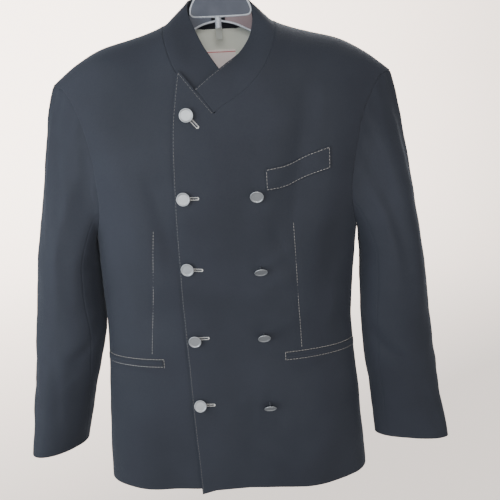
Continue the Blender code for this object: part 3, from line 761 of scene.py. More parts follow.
@dataclass(frozen=True)
class Wall:
    """How a panel of cloth is cut and thickened."""

    cloth: float
    step: Pair
    scale: Pair
    edge: float = 0.55

    def lines(self, low: float, high: float, step: float) -> list[float]:
        """Grid lines at whole steps between two values, clear of both."""
        first, last = math.ceil(low / step + 0.3), math.floor(high / step - 0.3)
        return [i * step for i in range(first, last + 1)]

    def make(
        self, name: str, outline: Sequence[Pair], place: Place, extra_rows: Sequence[float] = (),
    ) -> Piece:
        """A wall of cloth with soft edges: the outline as one face, cut into a grid, extruded and laid on a form.

        Args:
            name: the piece's name.
            outline: corners in the form's coordinates.
            place: gives a point and an outward direction for two coordinates.
            extra_rows: further grid lines in the second coordinate.

        Returns:
            The finished piece, with its coordinates in metres as a UV map.
        """
        across, up = self.scale
        bm = bmesh.new()
        bm.faces.new([bm.verts.new((u * across, v * up, 0)) for u, v in outline])
        us, vs = [u for u, _ in outline], [v for _, v in outline]
        cuts = [(0, c * across) for c in self.lines(min(us), max(us), self.step[0])]
        cuts += [(1, r * up) for r in (*self.lines(min(vs), max(vs), self.step[1]), *extra_rows)]
        for axis, line in cuts:
            point, normal = [0.0, 0.0, 0.0], [0.0, 0.0, 0.0]
            point[axis], normal[axis] = line, 1.0
            whole = bm.verts[:] + bm.edges[:] + bm.faces[:]
            bmesh.ops.bisect_plane(bm, geom=whole, dist=CUT_SLACK, plane_co=point, plane_no=normal)
        thicken(bm, (0, 0, -self.cloth))
        bmesh.ops.recalc_face_normals(bm, faces=bm.faces[:])
        rim = [
            e for e in bm.edges
            if len(e.link_faces) == 2 and e.calc_face_angle() > RIM_ANGLE
            and abs(e.verts[0].co.z - e.verts[1].co.z) < 0.01
        ]
        bmesh.ops.bevel(
            bm, geom=rim, offset=self.edge, offset_type="OFFSET", segments=2, profile=0.5,
            affect="EDGES", clamp_overlap=False, material=-1,
        )
        uv = bm.loops.layers.uv.new("cloth")
        for face in bm.faces:
            for loop in face.loops:
                loop[uv].uv = (loop.vert.co.x * MM, loop.vert.co.y * MM)
        found: dict[Pair, Spot] = {}
        for vert in bm.verts:
            key = (round(vert.co.x, 3), round(vert.co.y, 3))
            if key not in found:
                found[key] = place(vert.co.x / across, vert.co.y / up)
            point, out = found[key]
            vert.co = (point + out * vert.co.z) * MM
        return finished(name, bm)


def finished(name: str, bm: Mesh, keep_normals: bool = False) -> Piece:
    """A smooth object from a bmesh, with its place in its mesh.

    Args:
        name: the object's name.
        bm: the mesh, which is freed.
        keep_normals: leaves the faces' directions as they are.

    Returns:
        The object, linked to the scene.
    """
    if not keep_normals:
        bmesh.ops.recalc_face_normals(bm, faces=bm.faces[:])
    mesh = bpy.data.meshes.new(name)
    bm.to_mesh(mesh)
    bm.free()
    mesh.shade_smooth()
    mesh.set_sharp_from_angle(angle=math.radians(SHARP_ANGLE))
    piece = bpy.data.objects.new(name, mesh)
    bpy.context.scene.collection.objects.link(piece)
    return piece


def dress(piece: Piece, material: Material, slot: Slot, *nodes: str) -> Piece:
    """Gives a piece its finish and its body, and hides the solids that it stands for.

    Args:
        piece: the piece.
        material: its material.
        slot: the record's slot; not used.
        nodes: the solids that it replaces.

    Returns:
        The piece.
    """
    piece.data.materials.clear()
    piece.data.materials.append(material)
    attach(piece, "root")
    if nodes:
        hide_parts(*nodes)
    LOG.info("%s: %d faces", piece.name, len(piece.data.polygons))
    return piece


class Graph:
    """A short way to add and link the nodes of a material or a node group."""

    def __init__(self, tree: Tree) -> None:
        """Keeps the tree."""
        self.tree = tree

    def add(self, kind: str, settings: dict | None = None, **inputs: object) -> Node:
        """Adds a node.

        Args:
            kind: the node's type.
            settings: its own properties.
            inputs: values or sockets by input name, with _ for a space and a number after in_ for an index.

        Returns:
            The node.
        """
        node = self.tree.nodes.new(kind)
        for key, value in (settings or {}).items():
            setattr(node, key, value)
        self.feed(node, **inputs)
        return node

    def feed(self, node: Node, **inputs: object) -> None:
        """Links sockets to a node's inputs, or sets their values.

        Args:
            node: the node.
            inputs: values or sockets, named as in add().
        """
        for key, value in inputs.items():
            socket = node.inputs[int(key[3:])] if key.startswith("in_") else node.inputs[key.replace("_", " ")]
            if isinstance(value, Socket):
                self.tree.links.new(value, socket)
            else:
                socket.default_value = value

    def maths(self, operation: str, first: object, second: object = 0.0) -> Socket:
        """The result of a Math node."""
        return self.add("ShaderNodeMath", {"operation": operation}, in_0=first, in_1=second).outputs[0]

    def mix(self, share: object, first: object, second: object) -> Socket:
        """The result of a colour Mix node."""
        node = self.add("ShaderNodeMix", {"data_type": "RGBA"}, in_0=share, in_6=first, in_7=second)
        return node.outputs[2]

    def noise(self, vector: Socket, scale: object, detail: float = 3.0, rough: float = 0.55) -> Socket:
        """A noise value from 0 to 1."""
        inputs = {"Vector": vector, "Scale": scale, "Detail": detail, "Roughness": rough}
        return self.add("ShaderNodeTexNoise", None, **inputs).outputs[0]

    def spread(self, value: Socket, low: float, high: float, to_low: float = 0.0, to_high: float = 1.0) -> Socket:
        """A value moved from one range to another."""
        inputs = {"in_0": value, "in_1": low, "in_2": high, "in_3": to_low, "in_4": to_high}
        return self.add("ShaderNodeMapRange", None, **inputs).outputs[0]

    def bump(self, strength: float, distance: float, height: Socket) -> Socket:
        """The normal of a Bump node."""
        return self.add("ShaderNodeBump", None, Strength=strength, Distance=distance, Height=height).outputs[0]


def new_group(
    name: str, inputs: Sequence[tuple[str, str, object]], outputs: Sequence[tuple[str, str]],
) -> tuple[Tree, Graph, Node, Node]:
    """A node group with named sockets.

    Args:
        name: the group's name.
        inputs: name, socket type and default value of each input.
        outputs: name and socket type of each output.

    Returns:
        The group, its graph, and its input and output nodes.
    """
    tree = bpy.data.node_groups.new(name, "ShaderNodeTree")
    for label, kind, value in inputs:
        socket = tree.interface.new_socket(label, in_out="INPUT", socket_type=kind)
        if value is not None:
            socket.default_value = value
    for label, kind in outputs:
        tree.interface.new_socket(label, in_out="OUTPUT", socket_type=kind)
    return tree, Graph(tree), tree.nodes.new("NodeGroupInput"), tree.nodes.new("NodeGroupOutput")


def twill_group() -> Tree:
    """Twill: slanting ribs crossed by fine threads, as a height and a mask of the thread tops.

    Returns:
        The node group.
    """
    tree, g, come, go = new_group(
        "twill",
        (("Vector", "NodeSocketVector", None), ("Pitch", "NodeSocketFloat", 0.0011)),
        (("Height", "NodeSocketFloat"), ("Tops", "NodeSocketFloat")),
    )
    apart = g.add("ShaderNodeSeparateXYZ", None, Vector=come.outputs["Vector"])
    wobble = g.maths("MULTIPLY", g.noise(come.outputs["Vector"], 260.0, 2.0), 0.9)
    across = g.maths("DIVIDE", apart.outputs["X"], come.outputs["Pitch"])
    along = g.maths("DIVIDE", apart.outputs["Y"], come.outputs["Pitch"])
    slant = g.maths("ADD", g.maths("ADD", across, g.maths("MULTIPLY", along, 0.7)), wobble)
    rib = g.maths("SINE", g.maths("MULTIPLY", slant, math.tau))
    thread = g.maths("SINE", g.maths("MULTIPLY", g.maths("SUBTRACT", along, across), math.tau))
    height = g.maths("ADD", g.maths("MULTIPLY", rib, 0.65), g.maths("MULTIPLY", thread, 0.35))
    g.feed(go, Height=height, Tops=g.spread(height, -0.6, 0.9))
    return tree


def mottle_group() -> Tree:
    """Slow and fine unevenness of a surface: a broad mask, a fleck mask and a fine height.

    Returns:
        The node group.
    """
    tree, g, come, go = new_group(
        "mottle",
        (("Vector", "NodeSocketVector", None), ("Broad", "NodeSocketFloat", 9.0), ("Fine", "NodeSocketFloat", 420.0)),
        (("Broad Mask", "NodeSocketFloat"), ("Flecks", "NodeSocketFloat"), ("Height", "NodeSocketFloat")),
    )
    vector = come.outputs["Vector"]
    broad = g.noise(vector, come.outputs["Broad"], 4.0, 0.5)
    fine = g.noise(vector, come.outputs["Fine"], 3.0, 0.7)
    g.feed(go, Broad_Mask=g.spread(broad, 0.3, 0.7), Flecks=g.spread(fine, 0.42, 0.72), Height=fine)
    return tree


def opaque(colour: Colour) -> tuple[float, float, float, float]:
    """A colour with full alpha."""
    return (*colour, 1.0)


def new_material(name: str) -> tuple[Material, Graph, Node]:
    """A material with an empty Principled shader.

    Args:
        name: the material's name.

    Returns:
        The material, its graph and its shader.
    """
    material = bpy.data.materials.new(name)
    material.use_nodes = True
    return material, Graph(material.node_tree), material.node_tree.nodes["Principled BSDF"]


@dataclass(frozen=True)
class ClothFinish:
    """A woven cloth: its two tones, its weave and how it takes light."""

    name: str
    base: Colour
    light: Colour
    pitch: float = 0.0011
    relief: float = 0.22
    rough: Pair = (0.72, 0.9)
    sheen: float = 0.12
    sheen_tint: Colour = (0.62, 0.68, 0.8)
    flecks: float = 0.25
    specular: float = 0.32
    fleck_gain: float = 1.7
    bump: float = 0.0004

    def build(self, twill: Tree, mottle: Tree) -> Material:
        """Makes the material.

        Args:
            twill: the weave's node group.
            mottle: the unevenness group.

        Returns:
            The material, which reads the cloth's UV map and Object coordinates.
        """
        material, g, shader = new_material(self.name)
        uv = g.add("ShaderNodeUVMap", {"uv_map": "cloth"}).outputs[0]
        place = g.add("ShaderNodeTexCoord").outputs["Object"]
        weave = g.add("ShaderNodeGroup", {"node_tree": twill}, Vector=uv, Pitch=self.pitch)
        uneven = g.add("ShaderNodeGroup", {"node_tree": mottle}, Vector=place)
        tone = g.mix(uneven.outputs["Broad Mask"], opaque(self.base), opaque(self.light))
        pale = opaque(tuple(min(1.0, c * self.fleck_gain + 0.004) for c in self.light))
        share = g.maths("MULTIPLY", g.maths("MULTIPLY", uneven.outputs["Flecks"], weave.outputs["Tops"]), self.flecks)
        rough = g.spread(uneven.outputs["Flecks"], 0.0, 1.0, *self.rough)
        height = g.maths("ADD", weave.outputs["Height"], g.maths("MULTIPLY", uneven.outputs["Height"], 1.2))
        g.feed(
            shader, Base_Color=g.mix(share, tone, pale), Roughness=rough,
            Normal=g.bump(self.relief, self.bump, height), Sheen_Weight=self.sheen, Sheen_Roughness=0.45,
            Sheen_Tint=opaque(self.sheen_tint), Specular_IOR_Level=self.specular,
        )
        return material


@dataclass(frozen=True)
class LabelFinish:
    """A woven label: a pale ground and two bands of another colour at heights in metres."""

    ground: Colour = (1.0, 0.87, 0.85)
    band: Colour = (0.62, 0.13, 0.13)
    bands: tuple[Row, ...] = ((-0.1582, 0.0007), (-0.1889, 0.0007))
    pitch: float = 0.0006
    rough: Pair = (0.62, 0.48)

    def build(self, twill: Tree) -> Material:
        """Makes the material.

        Args:
            twill: the weave's node group.

        Returns:
            The material.
        """
        material, g, shader = new_material("label_weave")
        uv = g.add("ShaderNodeUVMap", {"uv_map": "cloth"}).outputs[0]
        place = g.add("ShaderNodeTexCoord").outputs["Object"]
        apart = g.add("ShaderNodeSeparateXYZ", None, Vector=place)
        weave = g.add("ShaderNodeGroup", {"node_tree": twill}, Vector=uv, Pitch=self.pitch)
        colour = g.mix(g.noise(place, 90.0), opaque(self.ground), opaque(tuple(c * 0.9 for c in self.ground)))
        for height, half in self.bands:
            away = g.maths("ABSOLUTE", g.maths("SUBTRACT", apart.outputs["Z"], height))
            share = g.maths("LESS_THAN", away, half)
            colour = g.mix(share, colour, opaque(self.band))
        colour = g.mix(g.maths("MULTIPLY", weave.outputs["Tops"], 0.12), colour, (1, 1, 1, 1))
        rough = g.spread(weave.outputs["Tops"], 0.0, 1.0, *self.rough)
        g.feed(shader, Base_Color=colour, Roughness=rough, Normal=g.bump(0.3, 0.0002, weave.outputs["Height"]))
        return material


@dataclass(frozen=True)
class SolidFinish:
    """A moulded, turned or spun surface: thread, metal or plastic."""

    name: str
    base: Colour
    worn: Colour
    rough: Pair
    grain: float
    relief: float
    metallic: float = 0.0
    transmission: float = 0.0
    ior: float = 1.5
    specular: float = 0.5

    def build(self, mottle: Tree) -> Material:
        """Makes the material.

        Args:
            mottle: the unevenness group.

        Returns:
            The material, on Object coordinates.
        """
        material, g, shader = new_material(self.name)
        place = g.add("ShaderNodeTexCoord").outputs["Object"]
        uneven = g.add("ShaderNodeGroup", {"node_tree": mottle}, Vector=place, Broad=40.0, Fine=self.grain)
        colour = g.mix(uneven.outputs["Broad Mask"], opaque(self.base), opaque(self.worn))
        rough = g.spread(uneven.outputs["Flecks"], 0.0, 1.0, *self.rough)
        g.feed(
            shader, Base_Color=colour, Roughness=rough, Normal=g.bump(self.relief, 0.0002, uneven.outputs["Height"]),
            Metallic=self.metallic, Transmission_Weight=self.transmission, IOR=self.ior,
            Specular_IOR_Level=self.specular,
        )
        return material


WOOL = ClothFinish("wool_twill", (0.0182, 0.0205, 0.0284), (0.0243, 0.0273, 0.0371))
LINING = ClothFinish(
    "lining_satin", (0.64, 0.66, 0.59), (0.72, 0.74, 0.66), 0.0007, 0.12, (0.38, 0.5), 0.2, (1, 1, 1), 0.05, 0.5
)
SOLID_FINISHES = (
    SolidFinish("pale_thread", (0.37, 0.342, 0.305), (0.46, 0.424, 0.378), (0.6, 0.75), 2600.0, 0.5),
    # A darker copy of the pale thread for the edge and collar rows: painted shade.
    SolidFinish("thread_with_painted_shade", (0.25, 0.232, 0.21), (0.31, 0.288, 0.26), (0.65, 0.8), 2600.0, 0.5),
    SolidFinish("buttonhole_thread", (0.62, 0.60, 0.56), (0.70, 0.68, 0.64), (0.5, 0.62), 2600.0, 0.5),
    SolidFinish("dark_thread", (0.02, 0.022, 0.03), (0.03, 0.033, 0.042), (0.7, 0.85), 2600.0, 0.5),
    SolidFinish("satin_silver", (0.37, 0.38, 0.39), (0.44, 0.45, 0.46), (0.42, 0.54), 900.0, 0.12, metallic=0.75),
    SolidFinish(
        "moulded_plastic", (0.068, 0.074, 0.094), (0.086, 0.093, 0.116), (0.45, 0.55), 60.0, 0.02,
        transmission=0.03, ior=1.49, specular=0.12,
    ),
    SolidFinish(
        "rosy_plastic", (0.15, 0.112, 0.118), (0.18, 0.136, 0.142), (0.45, 0.55), 60.0, 0.02,
        transmission=0.03, ior=1.49, specular=0.12,
    ),
    SolidFinish(
        "clear_plastic", (0.86, 0.88, 0.87), (0.9, 0.92, 0.91), (0.3, 0.4), 60.0, 0.02,
        transmission=0.94, ior=1.12, specular=0.05,
    ),
    SolidFinish(
        "pale_plastic", (0.40, 0.42, 0.46), (0.46, 0.48, 0.52), (0.22, 0.3), 60.0, 0.02, transmission=0.2, ior=1.49
    ),
    SolidFinish("bright_wire", (0.62, 0.62, 0.62), (0.70, 0.70, 0.70), (0.16, 0.28), 700.0, 0.06, metallic=1.0),
)


class Finishes:
    """Every finish of the blazer, built once."""

    def __init__(self) -> None:
        """Builds the shared groups and the materials."""
        twill, mottle = twill_group(), mottle_group()
        self.wool = WOOL.build(twill, mottle)
        self.lining = LINING.build(twill, mottle)
        self.label = LabelFinish().build(twill)
        made = {finish.name: finish.build(mottle) for finish in SOLID_FINISHES}
        self.thread, self.painted_shade_thread = made["pale_thread"], made["thread_with_painted_shade"]
        self.bright_thread, self.dark_thread = made["buttonhole_thread"], made["dark_thread"]
        self.silver, self.steel = made["satin_silver"], made["bright_wire"]
        self.plastic, self.rosy_plastic = made["moulded_plastic"], made["rosy_plastic"]
        self.clear_plastic, self.rim_plastic = made["clear_plastic"], made["pale_plastic"]


@dataclass
class Panels:
    """The two fronts and the two backs of the body."""

    body: BodyForm
    collar: CollarForm
    side_seam: float = 82.0
    front_wall: Wall = Wall(1.9, (1.5, 6.0), (3.7, 1.0))
    back_wall: Wall = Wall(1.7, (1.75, 7.0), (3.7, 1.0))
    hem: float = -865.0
    side_degree: float = 3.6
    back_degree: float = 7.0
    edge_parts: int = 40
    lapel: tuple[Pair, ...] = ((-36.6, -211.1), (-58, -184.5))
    over_edge: tuple[Pair, ...] = (
        (-65, -224), (-71, -264), (-75, -340), (-77, -440), (-78, -520), (-76, -620), (-74, -720), (-71, -800),
    )
    over_hem: tuple[Pair, ...] = ((-69, -868), (-45, -861), (11, -859), (62, -861), (105, -865), (147, -866))
    under_edge: tuple[Pair, ...] = ((-6, -236), (14, -250), (38, -262))
    under_hem: tuple[Pair, ...] = ((38, -858), (-60, -860), (-110, -861), (-160, -863))

    def neck(self, stations: Sequence[Row], back: bool = False) -> list[Pair]:
        """Body coordinates of a stretch of the neck seam."""
        return [self.body.chart(row[0], row[1], back) for row in stations]

    def smooth_edge(self) -> list[Pair]:
        """The overlapping front edge as a smooth run of places, from the lapel's point to the hem.

        Returns:
            The places as seen from the front.
        """
        curve = Curve([(-z, x) for x, z in (self.lapel[-1], *self.over_edge, self.over_hem[0])])
        top = self.lapel[-1][1]
        drop = top - self.over_hem[0][1]
        heights = [top - i * drop / self.edge_parts for i in range(1, self.edge_parts)]
        return [(curve.at(-z)[0], z) for z in heights]

    def make_front(self, side: Side) -> Piece:
        """One front: the wearer's left overlaps the right.

        Args:
            side: the wearer's side.

        Returns:
            The panel.
        """
        over = side is Side.LEFT
        seam = self.side_seam - SEAM_GAP / self.side_degree
        neck = self.collar.tables[0][::-1] if over else self.collar.tables[2]
        hem = self.over_hem if over else self.under_hem
        edge = (*self.lapel, *self.smooth_edge()) if over else self.under_edge
        chart, sign = self.body.chart, side.value
        outline = [chart(x, z) for x, z in hem]
        outline += [(sign * seam, self.hem), (sign * seam, self.body.side_join(side, seam)[1])]
        outline += [(u, v) for u, v in self.body.armhole_run(side) if abs(u) < seam - 0.3]
        outline += self.body.shoulder_run(self.body.armhole(side, 0)[0], chart(*neck[0][:2])[0])
        outline += self.neck(neck[1:]) + [chart(x, z) for x, z in edge]
        if over:
            place = self.body.over_at
        else:
            place = self.body.at
        name = "front_overlapping" if over else "front_under"
        return self.front_wall.make(f"{name}_cloth", outline[::sign], place)

    def make_back(self, side: Side) -> Piece:
        """One back, from the centre seam round to the side seam.

        Args:
            side: the wearer's side.

        Returns:
            The panel.
        """
        seam, centre = self.side_seam + SEAM_GAP / self.side_degree, 180 - SEAM_GAP / self.back_degree
        sign = side.value
        stations = self.collar.tables[1][::sign]
        neck = [(abs(u), v) for u, v in self.neck(stations, True)][1:len(stations) // 2]
        outline = [(centre, self.hem + 4), (150, self.hem + 2), (120, self.hem), (seam, self.hem)]
        outline += [self.body.side_join(side, seam)]
        outline += [(abs(u), v) for u, v in self.body.armhole_run(side)[::-1] if abs(u) > seam + 0.3]
        outline += [(abs(u), v) for u, v in [self.body.armhole(side, 180)] + self.body.armhole_run(side, True)]
        first = abs(self.body.armhole(side, 0, True)[0])
        outline += self.body.shoulder_run(first, abs(self.body.chart(*stations[0][:2], True)[0]))
        outline += neck + [(centre, self.body.chart(0, self.collar.back[3][1], True)[1])]
        name = "back_left" if side is Side.LEFT else "back_right"
        return self.back_wall.make(f"{name}_cloth", [(sign * u, v) for u, v in outline][::sign], self.body.at)

    def build(self, finishes: Finishes) -> Pieces:
        """Makes and dresses the four panels.

        Args:
            finishes: the materials.

        Returns:
            The pieces by name.
        """
        made = {}
        for side, front, back in (
            (Side.LEFT, "front_overlapping", "back_left"), (Side.RIGHT, "front_under", "back_right"),
        ):
            made[front] = dress(self.make_front(side), finishes.wool, Slot.WOOL, front)
            made[back] = dress(self.make_back(side), finishes.wool, Slot.WOOL, back)
        return made


@dataclass
class StandCollar:
    """The collar's one piece of cloth."""

    form: CollarForm
    wall: Wall = Wall(2.3, (0.4, 0.1), (11.0, 40.0), 0.7)

    def build(self, finishes: Finishes) -> Piece:
        """Makes and dresses the collar.

        Args:
            finishes: the materials.

        Returns:
            The collar.
        """
        end = self.form.count
        outline = [(0, 0), (end, 0), (end, 1), (0, 1)]
        piece = self.wall.make("collar_cloth", outline, self.form.at, (0.05, 0.95))
        return dress(piece, finishes.wool, Slot.WOOL, "collar")


@dataclass
class Sleeve:
    """One sleeve: the top sleeve outside and the under sleeve beside the body."""

    form: SleeveForm
    wall: Wall = Wall(1.7, (3.75, 0.0222), (0.96, 300.0), 0.5)
    front_seam: float = 127.5
    back_seam: float = 97.5
    gap: float = -0.08

    def build(self, finishes: Finishes) -> Pieces:
        """Makes and dresses both parts of the sleeve.

        Args:
            finishes: the materials.

        Returns:
            The pieces by name.
        """
        name = "sleeve_left" if self.form.side is Side.LEFT else "sleeve_right"
        spans = (
            ("top", self.gap - self.back_seam, self.front_seam - self.gap),
            ("under", self.front_seam + self.gap, 360 - self.back_seam - self.gap),
        )
        made = {}
        for part, first, last in spans:
            outline = [(first, 0), (last, 0), (last, 2), (first, 2)]
            piece = self.wall.make(f"{name}_{part}_cloth", outline, self.form.at, (0.008, 1.992))
            made[f"{name}_{part}"] = dress(piece, finishes.wool, Slot.WOOL, f"{name}_{part}")
        return made


@dataclass
class Pockets:
    """Two jets at each hip pocket, and the chest welt."""

    body: BodyForm
    jet: float = 5.6
    jet_wall: Wall = Wall(1.2, (1.5, 3.0), (3.7, 1.0), 0.45)
    lift: float = 0.5
    end: float = 79.5
    starts: tuple[tuple[str, Side, float, float], ...] = (
        ("pocket_left", Side.LEFT, 79.0, -619.0), ("pocket_right", Side.RIGHT, -117.0, -625.0),
    )
    welt: tuple[Pair, ...] = (
        (57, -325), (88, -319), (118, -308), (152, -298), (152, -330), (118, -340), (86, -352), (59, -356),
    )

    def surface(self, over: bool) -> Place:
        """The place function of a piece laid on a front.

        Args:
            over: the piece lies on the overlapping front.

        Returns:
            The place function.
        """
        wall = self.jet_wall.cloth + self.lift

        def place(turn: float, height: float) -> Spot:
            """A point on the laid piece's outer side."""
            lift = self.body.over_lift(turn, height) if over else 0.0
            return self.body.at(turn, height, lift + wall)

        return place

    def welt_outline(self, inset: float = 0.0) -> list[Pair]:
        """The chest welt's outline as smooth runs of places, drawn in by an inset.

        Args:
            inset: how far it is drawn in.

        Returns:
            Places as seen from the front.
        """
        top = Curve([(x, z) for x, z in self.welt[:4]])
        low = Curve([(x, z) for x, z in self.welt[4:]])
        left, right = self.welt[0][0] + inset, self.welt[3][0] - inset
        xs = [left + (right - left) * i / 12 for i in range(13)]
        upper = [(x, top.at(x)[0] - inset) for x in xs]
        return upper + [(x, low.at(max(x, self.welt[-1][0]))[0] + inset) for x in xs[::-1]]

    def welt_lift(self, turn: float, height: float) -> float:
        """How far the chest welt's outer side lies off the form."""
        return self.body.over_lift(turn, height) + self.lift + self.jet_wall.cloth

    def build(self, finishes: Finishes) -> Pieces:
        """Makes and dresses the jets and the welt.

        Args:
            finishes: the materials.

        Returns:
            The pieces by name.
        """
        made = {}
        for name, side, start, top in self.starts:
            first, last = self.body.chart(start, top)[0], side.value * self.end
            for part, high in (("upper_jet", top), ("lower_jet", top - self.jet - SEAM_GAP)):
                low, node = high - self.jet, f"{name}_{part}"
                outline = [(first, low), (last, low), (last, high), (first, high)][::side.value]
                piece = self.jet_wall.make(f"{node}_cloth", outline, self.surface(side is Side.LEFT))
                made[node] = dress(piece, finishes.wool, Slot.WOOL, node)
        outline = [self.body.chart(x, z) for x, z in self.welt_outline()[::-1]]
        piece = self.jet_wall.make("chest_welt_cloth", outline, self.surface(True))
        made["chest_welt"] = dress(piece, finishes.wool, Slot.WOOL, "chest_welt")
        return made


@dataclass
class NeckLining:
    """The lining that shows through the neck, and the label sewn to it."""

    body: BodyForm
    depth: float = -2.9
    lining_wall: Wall = Wall(0.9, (1.75, 7.0), (3.7, 1.0), 0.3)
    label_wall: Wall = Wall(0.8, (1.0, 4.0), (3.7, 1.0), 0.3)
    low: float = -262.0
    side: float = 62.0
    label_width: float = 46.0
    label_top: float = -153.6
    label_height: float = 40.0

    def sunk(self, depth: float) -> Place:
        """The place function of a piece that lies inside the back panels.

        Args:
            depth: how far inside the form it lies.

        Returns:
            The place function.
        """

        def place(turn: float, height: float) -> Spot:
            """A point on the sunk piece's outer side.

            Args:
                turn: degrees from the centre front.
                height: the form's height.

            Returns:
                The point and the direction.
            """
            point, out = self.body.at(turn, height)
            fold = 0.8 * math.sin(point.x / 9.0 + point.z / 70.0) * ease((-point.z - 135) / 40)
            return point + out * (depth - max(0.0, fold)), out

        return place

    def build(self, finishes: Finishes) -> Pieces:
        """Makes and dresses the lining and the label.

        Args:
            finishes: the materials.

        Returns:
            The pieces by name.
        """
        chart = self.body.chart
        top = [chart(x, z - 1.5, True) for x, z in ((62, -124.5), (50, -123.5), (25, -122.5), (0, -122))]
        top += [(360 - u, v) for u, v in top[-2::-1]]
        outer = chart(self.side + 8, self.low, True)[0]
        outline = [(360 - outer, self.low), (180, self.low - 8), (outer, self.low)] + top
        made = {}
        piece = self.lining_wall.make("neck_lining_cloth", outline, self.sunk(self.depth))
        made["neck_lining"] = dress(piece, finishes.lining, Slot.LINING, "neck_lining")
        half, foot = self.label_width / 2, self.label_top - self.label_height
        outline = []
        xs = [half - half * i / 6 for i in range(13)]
        for x, z in [(x, self.label_top) for x in xs] + [(x, foot) for x in xs[::-1]]:
            turn, height = chart(abs(x), z, True)
            outline.append((turn if x > 0 else 360 - turn, height))
        place = self.sunk(self.depth - self.lining_wall.cloth - 1.0)
        piece = self.label_wall.make("neck_label_cloth", outline, place)
        made["neck_label"] = dress(piece, finishes.label, Slot.LABEL, "neck_label")
        return made


def flat_lift(turn: float, height: float) -> float:
    """The lift of cloth that lies on the form itself: none."""
    return 0.0


@dataclass
class Stitching:
    """Rows of sewn stitches: each stitch is a grain of thread that dips into the cloth at both ends."""

    body: BodyForm
    radius: float = 0.29
    fine: float = 0.17
    bold: float = 0.36
    length: float = 3.9
    pitch: float = 4.9
    free_edge: int = 26
    inset: float = 2.0
    lapel_tip: Pair = (-56.6, -188.5)
    lapel_slant: tuple[Pair, ...] = ((-57.3, -188.9), (-38.5, -213.5), (-13.1, -244.9))
    left_dart: tuple[Pair, ...] = ((-112, -411), (-117, -455), (-123, -518), (-129, -570), (-134, -617))
    right_dart: tuple[Pair, ...] = ((96, -407), (98, -455), (100, -514), (102, -560), (104, -613))

    def grain(
        self, bm: Mesh, centre: Vector, along: Vector, out: Vector, length: float, radius: float,
    ) -> None:
        """Adds one stitch.

        Args:
            bm: the mesh that takes it.
            centre: its middle, in millimetres.
            along: its direction.
            out: the cloth's outward direction.
            length: its length.
            radius: its thickness across.
        """
        along = along.normalized()
        aside = along.cross(out).normalized()
        up = aside.cross(along)
        turned = Matrix((aside * radius, up * radius * 0.8, along * length / 2)).transposed().to_4x4()
        turned.translation = centre + out * radius * 0.3
        matrix = Matrix.Scale(MM, 4) @ turned
        bmesh.ops.create_uvsphere(bm, u_segments=6, v_segments=5, radius=1.0, matrix=matrix)

    def sew(self, bm: Mesh, path: Sequence[Spot], radius: float) -> None:
        """Sews a row of stitches of one thickness along a path of points and outward directions.

        Args:
            bm: the mesh that takes them.
            path: points and outward directions.
            radius: the thread's thickness.
        """
        travelled, target = 0.0, self.pitch / 2
        length = self.length + 0.6 * (radius >= self.bold)
        for (start, out), (end, _) in zip(path, path[1:]):
            span = (end - start).length
            while span and target <= travelled + span:
                share = (target - travelled) / span
                self.grain(bm, start.lerp(end, share), end - start, out, length, radius)
                target += self.pitch
            travelled += span

    def on_front(self, places: Sequence[Pair], lift: Lift, step: float = 3.0) -> list[Spot]:
        """A path over a front.

        Args:
            places: the line's corners as seen from the front.
            lift: how far the cloth under it lies off the form.
            step: the distance between path points.

        Returns:
            Points and outward directions.
        """
        path = []
        for (x0, z0), (x1, z1) in zip(places, places[1:]):
            count = max(1, round(math.hypot(x1 - x0, z1 - z0) / step))
            for i in range(count):
                turn, height = self.body.chart(x0 + (x1 - x0) * i / count, z0 + (z1 - z0) * i / count)
                path.append(self.body.at(turn, height, lift(turn, height)))
        turn, height = self.body.chart(*places[-1])
        return path + [self.body.at(turn, height, lift(turn, height))]

    def edge_rows(self, panels: Panels) -> Piece:
        """The row along the overlapping front's edge and the lapel's slanting top.

        Args:
            panels: the fronts.

        Returns:
            The stitches.
        """
        bm = bmesh.new()
        run = [(x + self.inset, z) for x, z in panels.smooth_edge()] + [(panels.over_hem[0][0] + self.inset, -864)]
        for line in ([self.lapel_tip] + run, self.lapel_slant):
            self.sew(bm, self.on_front(line, self.body.over_lift), self.fine)
        return finished("stitches_front_edge", bm)

    def collar_rows(self, form: CollarForm) -> Piece:
        """The row along the front stretch of the collar's free edge.

        Args:
            form: the collar's form.

        Returns:
            The stitches.
        """
        bm = bmesh.new()
        self.sew(bm, [form.at(0.15 + i * 0.25, 0.96) for i in range(self.free_edge)], self.fine)
        return finished("stitches_collar", bm)

    def dart_rows(self) -> Piece:
        """The two darts, which end on the pockets.

        Returns:
            The stitches.
        """
        bm = bmesh.new()
        self.sew(bm, self.on_front(self.left_dart, flat_lift), self.radius)
        self.sew(bm, self.on_front(self.right_dart, self.body.over_lift), self.radius)
        return finished("stitches_darts", bm)

    def welt_rows(self, pockets: Pockets) -> Piece:
        """The row all round the chest welt.

        Args:
            pockets: the pockets and the welt.

        Returns:
            The stitches.
        """
        bm = bmesh.new()
        outline = pockets.welt_outline(1.8)
        self.sew(bm, self.on_front(outline + outline[:1], pockets.welt_lift), self.radius)
        return finished("stitches_chest_welt", bm)

    def pocket_rows(self, pockets: Pockets) -> Piece:
        """The rows round both hip pockets, closed at their inner ends.

        Args:
            pockets: the pockets and the welt.

        Returns:
            The stitches.
        """
        bm = bmesh.new()
        for _, side, start, top in pockets.starts:
            high, low, sign = top + 1.0, top - 2 * pockets.jet - SEAM_GAP - 1.0, side.value
            half_width, _, _, centre = self.body.levels.at(top)
            inner = start - sign * 1.2
            outer = centre + sign * half_width * math.sin(math.radians(pockets.end - 0.5))
            run = [(outer, high), (inner, high), (inner, low), (outer, low)]
            base = self.body.over_lift if side is Side.LEFT else flat_lift
            self.sew(bm, self.on_front(run, base), self.bold)
        return finished("stitches_pockets", bm)

